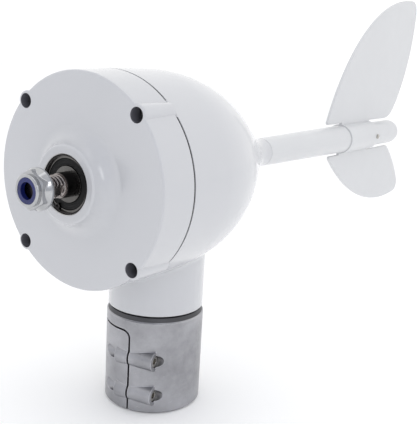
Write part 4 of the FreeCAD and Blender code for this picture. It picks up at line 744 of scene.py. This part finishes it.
class TURBINE_OT_generator(TurbineOperator):
    """Stator sheets, wound coils, rotor core, magnets, key and leads"""
    bl_idname = "turbine.generator"
    bl_label = "Generator"

    def execute(self, context):
        finishes, sizes = self.settings(context)
        give("stator_core", stacked_sheets(tuple(finishes.iron)))
        give("rotor_core", rough_iron(tuple(finishes.iron)))
        give("rotor_magnets", turned_metal("magnet_plate", tuple(finishes.magnet), 0.25))
        give("rotor_key", turned_metal("key_steel", tuple(finishes.steel), 0.35))
        coil_low, coil_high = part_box("stator_windings")
        middle = (coil_low.y + coil_high.y) / 2
        wire = sizes.coil_wire
        inner_half = Vector((7.0 * MM, 20.8 * MM))
        layers = 5
        rows = 10
        paths = []
        for k in range(12):
            turn = math.radians(15 + 30 * k)
            outward = Vector((math.cos(turn), 0, -math.sin(turn)))
            sideways = Vector((math.sin(turn), 0, math.cos(turn)))
            for row in range(rows):
                height = 56.2 * MM + row * wire
                for layer in range(layers):
                    grow = (layer + 0.5) * wire
                    loop = rounded_loop(inner_half.x + grow, inner_half.y + grow, wire + grow, 2)
                    centre = Vector((0, middle, AXIS_HEIGHT)) + outward * height
                    paths.append(([centre + sideways * a + Vector((0, b, 0)) for a, b in loop], True))
        tube(paths, wire * 0.49, "wound_coils", winding_wire(tuple(finishes.copper)), "head",
             ("stator_windings",), 1, 1)
        jacket = moulded("lead_jacket", tuple(finishes.lead), 0.35, 1 * MM, 0.01 * MM)
        routes = []
        lead_height = 167.5
        for k in range(3):
            side, back = 24 + 4.0 * k, 27 + 5.5 * k
            route = ((side, -37), (side, back - 14), (side, back - 3), (side - 3, back), (side - 12, back),
                     (11, back))
            routes.append(([Vector((x, y, lead_height)) * MM for x, y in route], False))
        tube(routes, 1.25 * MM, "lead_tubes", jacket, "head", ("phase_leads",), 8, 4)
        return {"FINISHED"}


class TURBINE_OT_slip_rings(TurbineOperator):
    """Slip rings, brushes, coiled brush springs, holder and terminals"""
    bl_idname = "turbine.slip_rings"
    bl_label = "Slip rings and brushes"

    def execute(self, context):
        finishes, sizes = self.settings(context)
        moulding = moulded("black_moulding", tuple(finishes.moulding), 0.45)
        for node in ("slip_ring_sleeve", "brush_holder", "brush_cap"):
            give(node, moulding)
        brass = turned_metal("turned_brass", tuple(finishes.brass), 0.2, 0.3 * MM, UPRIGHT_PLACE, "Z")
        for node in ("slip_rings", "terminal_screws"):
            give(node, brass)
        give("carbon_brushes", pressed_carbon(tuple(finishes.carbon)))
        low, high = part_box("brush_springs")
        radius = (high.x - low.x) / 2 - sizes.spring_wire / 2
        pitch = 8.5 * MM
        first = (low.z + high.z) / 2 - pitch
        paths = []
        for k in range(3):
            count = sizes.spring_turns * 12
            points = []
            for step in range(count + 1):
                turn = 2 * math.pi * step / 12
                place = low.y + sizes.spring_wire / 2 + (high.y - low.y - sizes.spring_wire) * step / count
                height = first + pitch * k + radius * math.sin(turn)
                points.append(Vector((radius * math.cos(turn), place, height)))
            paths.append((points, False))
        spring = turned_metal("brush_spring_steel", tuple(finishes.ring_steel), 0.25, 0.5 * MM)
        tube(paths, sizes.spring_wire / 2, "coiled_springs", spring, "head",
             ("brush_springs",), 2, 2)
        return {"FINISHED"}


class TURBINE_OT_screws(TurbineOperator):
    """Stainless screws of cover, brush holder and fin"""
    bl_idname = "turbine.screws"
    bl_label = "Screws"

    def execute(self, context):
        finishes, _ = self.settings(context)
        stainless = turned_metal("screw_steel", tuple(finishes.stainless), 0.25)
        for node in ("holder_screws", "fin_screw"):
            give(node, stainless)
        give("cover_screws", turned_metal("cover_screw_steel", tuple(finishes.cover_screw), 0.2, wear=4))
        return {"FINISHED"}


# ---------------------------------------------------------------- studio
def area_light(name, place, target, width, height, power):
    lamp = bpy.data.lights.new(name, "AREA")
    lamp.shape = "RECTANGLE"
    lamp.size, lamp.size_y = width, height
    lamp.energy = power
    holder = bpy.data.objects.new(name, lamp)
    holder.location = place
    holder.rotation_euler = (Vector(target) - Vector(place)).to_track_quat("-Z", "Y").to_euler()
    bpy.context.scene.collection.objects.link(holder)


class TURBINE_OT_studio(TurbineOperator):
    """Pale floor, soft light and the camera"""
    bl_idname = "turbine.studio"
    bl_label = "Studio"

    def floor(self, studio):
        half = studio.floor_half
        mesh = bpy.data.meshes.new("floor")
        corners = [(-half, -half, 0), (half, -half, 0), (half, half, 0), (-half, half, 0)]
        mesh.from_pydata(corners, [], [(0, 1, 2, 3)])
        made = Finish("floor_paint", tuple(studio.floor), 0.7)
        made.tint(made.noise(0.4), 0.3, 0.7, 0.995, 1.005)
        made.shader.inputs["Specular IOR Level"].default_value = 0.2
        made.shader.inputs["Emission Color"].default_value = (1, 1, 1, 1)
        made.shader.inputs["Emission Strength"].default_value = 0.07
        mesh.materials.append(made.material)
        floor = bpy.data.objects.new("floor", mesh)
        floor.location.z = -FLOOR_DROP
        bpy.context.scene.collection.objects.link(floor)

    def surroundings(self, scene, studio):
        """Plain white room, softly dimmer on the side that the rotor faces."""
        world = bpy.data.worlds.new("white_room")
        scene.world = world
        world.use_nodes = True
        nodes, links = world.node_tree.nodes, world.node_tree.links
        background = nodes["Background"]
        background.inputs["Strength"].default_value = studio.dome_light
        dot = nodes.new("ShaderNodeVectorMath")
        dot.operation = "DOT_PRODUCT"
        dot.inputs[1].default_value = Vector(ROOM_DIM_WAY).normalized()
        links.new(nodes.new("ShaderNodeTexCoord").outputs["Generated"], dot.inputs[0])
        share_of = nodes.new("ShaderNodeMapRange")
        share_of.interpolation_type = "SMOOTHSTEP"
        share_of.inputs["From Min"].default_value = 0.0
        share_of.inputs["From Max"].default_value = 0.9
        links.new(dot.outputs["Value"], share_of.inputs["Value"])
        shade = nodes.new("ShaderNodeMix")
        shade.data_type = "RGBA"
        shade.inputs[6].default_value = (1, 1, 1, 1)
        shade.inputs[7].default_value = (*studio.dim_side, 1)
        links.new(share_of.outputs["Result"], shade.inputs["Factor"])
        links.new(shade.outputs[2], background.inputs["Color"])

    def camera(self, scene, studio):
        turn, rise, roll = studio.camera_azimuth, studio.camera_elevation, studio.camera_roll
        back = Vector((math.sin(turn) * math.cos(rise), -math.cos(turn) * math.cos(rise), math.sin(rise)))
        level = Vector((math.cos(turn), math.sin(turn), 0))
        upward = back.cross(level)
        right = level * math.cos(roll) + upward * math.sin(roll)
        upright = upward * math.cos(roll) - level * math.sin(roll)
        lens = bpy.data.cameras.new("camera")
        lens.lens = studio.camera_lens
        lens.clip_start = 0.01
        holder = bpy.data.objects.new("camera", lens)
        holder.matrix_world = Matrix((
            (right.x, upright.x, back.x, studio.camera_place[0]),
            (right.y, upright.y, back.y, studio.camera_place[1]),
            (right.z, upright.z, back.z, studio.camera_place[2]),
            (0, 0, 0, 1)))
        scene.collection.objects.link(holder)
        scene.camera = holder

    def execute(self, context):
        scene = context.scene
        studio = scene.turbine_studio
        self.floor(studio)
        self.surroundings(scene, studio)
        self.camera(scene, studio)
        area_light("top_softbox", (0.2, 0.1, 1.6), (0, 0, 0.2), 1.0, 1.0, 1.5)
        area_light("side_softbox", (1.3, -0.9, 0.9), (0, 0, 0.2), 0.4, 0.8, 2.4)
        scene.view_settings.view_transform = "Standard"
        return {"FINISHED"}


OPERATORS = (
    TURBINE_OT_paintwork, TURBINE_OT_clamp, TURBINE_OT_stud, TURBINE_OT_hub_nut, TURBINE_OT_front_bearing,
    TURBINE_OT_generator, TURBINE_OT_slip_rings, TURBINE_OT_screws, TURBINE_OT_studio)


class TURBINE_PT_head(bpy.types.Panel):
    """Lists the turbine head's steps"""
    bl_idname = "TURBINE_PT_head"
    bl_label = "Wind turbine head"
    bl_space_type = "VIEW_3D"
    bl_region_type = "UI"
    bl_category = "Turbine"

    def draw(self, context):
        layout = self.layout
        for operator in OPERATORS:
            layout.operator(operator.bl_idname)
        scene = context.scene
        for group in (scene.turbine_finishes, scene.turbine_sizes, scene.turbine_studio):
            box = layout.box()
            for name in group.__annotations__:
                box.prop(group, name)


CLASSES = (TurbineFinishes, TurbineSizes, TurbineStudio, *OPERATORS, TURBINE_PT_head)


def register():
    for each in CLASSES:
        bpy.utils.register_class(each)
    bpy.types.Scene.turbine_finishes = PointerProperty(type=TurbineFinishes)
    bpy.types.Scene.turbine_sizes = PointerProperty(type=TurbineSizes)
    bpy.types.Scene.turbine_studio = PointerProperty(type=TurbineStudio)


def unregister():
    del bpy.types.Scene.turbine_studio
    del bpy.types.Scene.turbine_sizes
    del bpy.types.Scene.turbine_finishes
    for each in reversed(CLASSES):
        bpy.utils.unregister_class(each)


def main():
    register()
    bpy.ops.turbine.paintwork()
    bpy.ops.turbine.clamp()
    bpy.ops.turbine.stud()
    bpy.ops.turbine.hub_nut()
    bpy.ops.turbine.front_bearing()
    bpy.ops.turbine.generator()
    bpy.ops.turbine.slip_rings()
    bpy.ops.turbine.screws()
    bpy.ops.turbine.studio()
    bpy.context.view_layer.update()


if __name__ == "__main__":
    main()
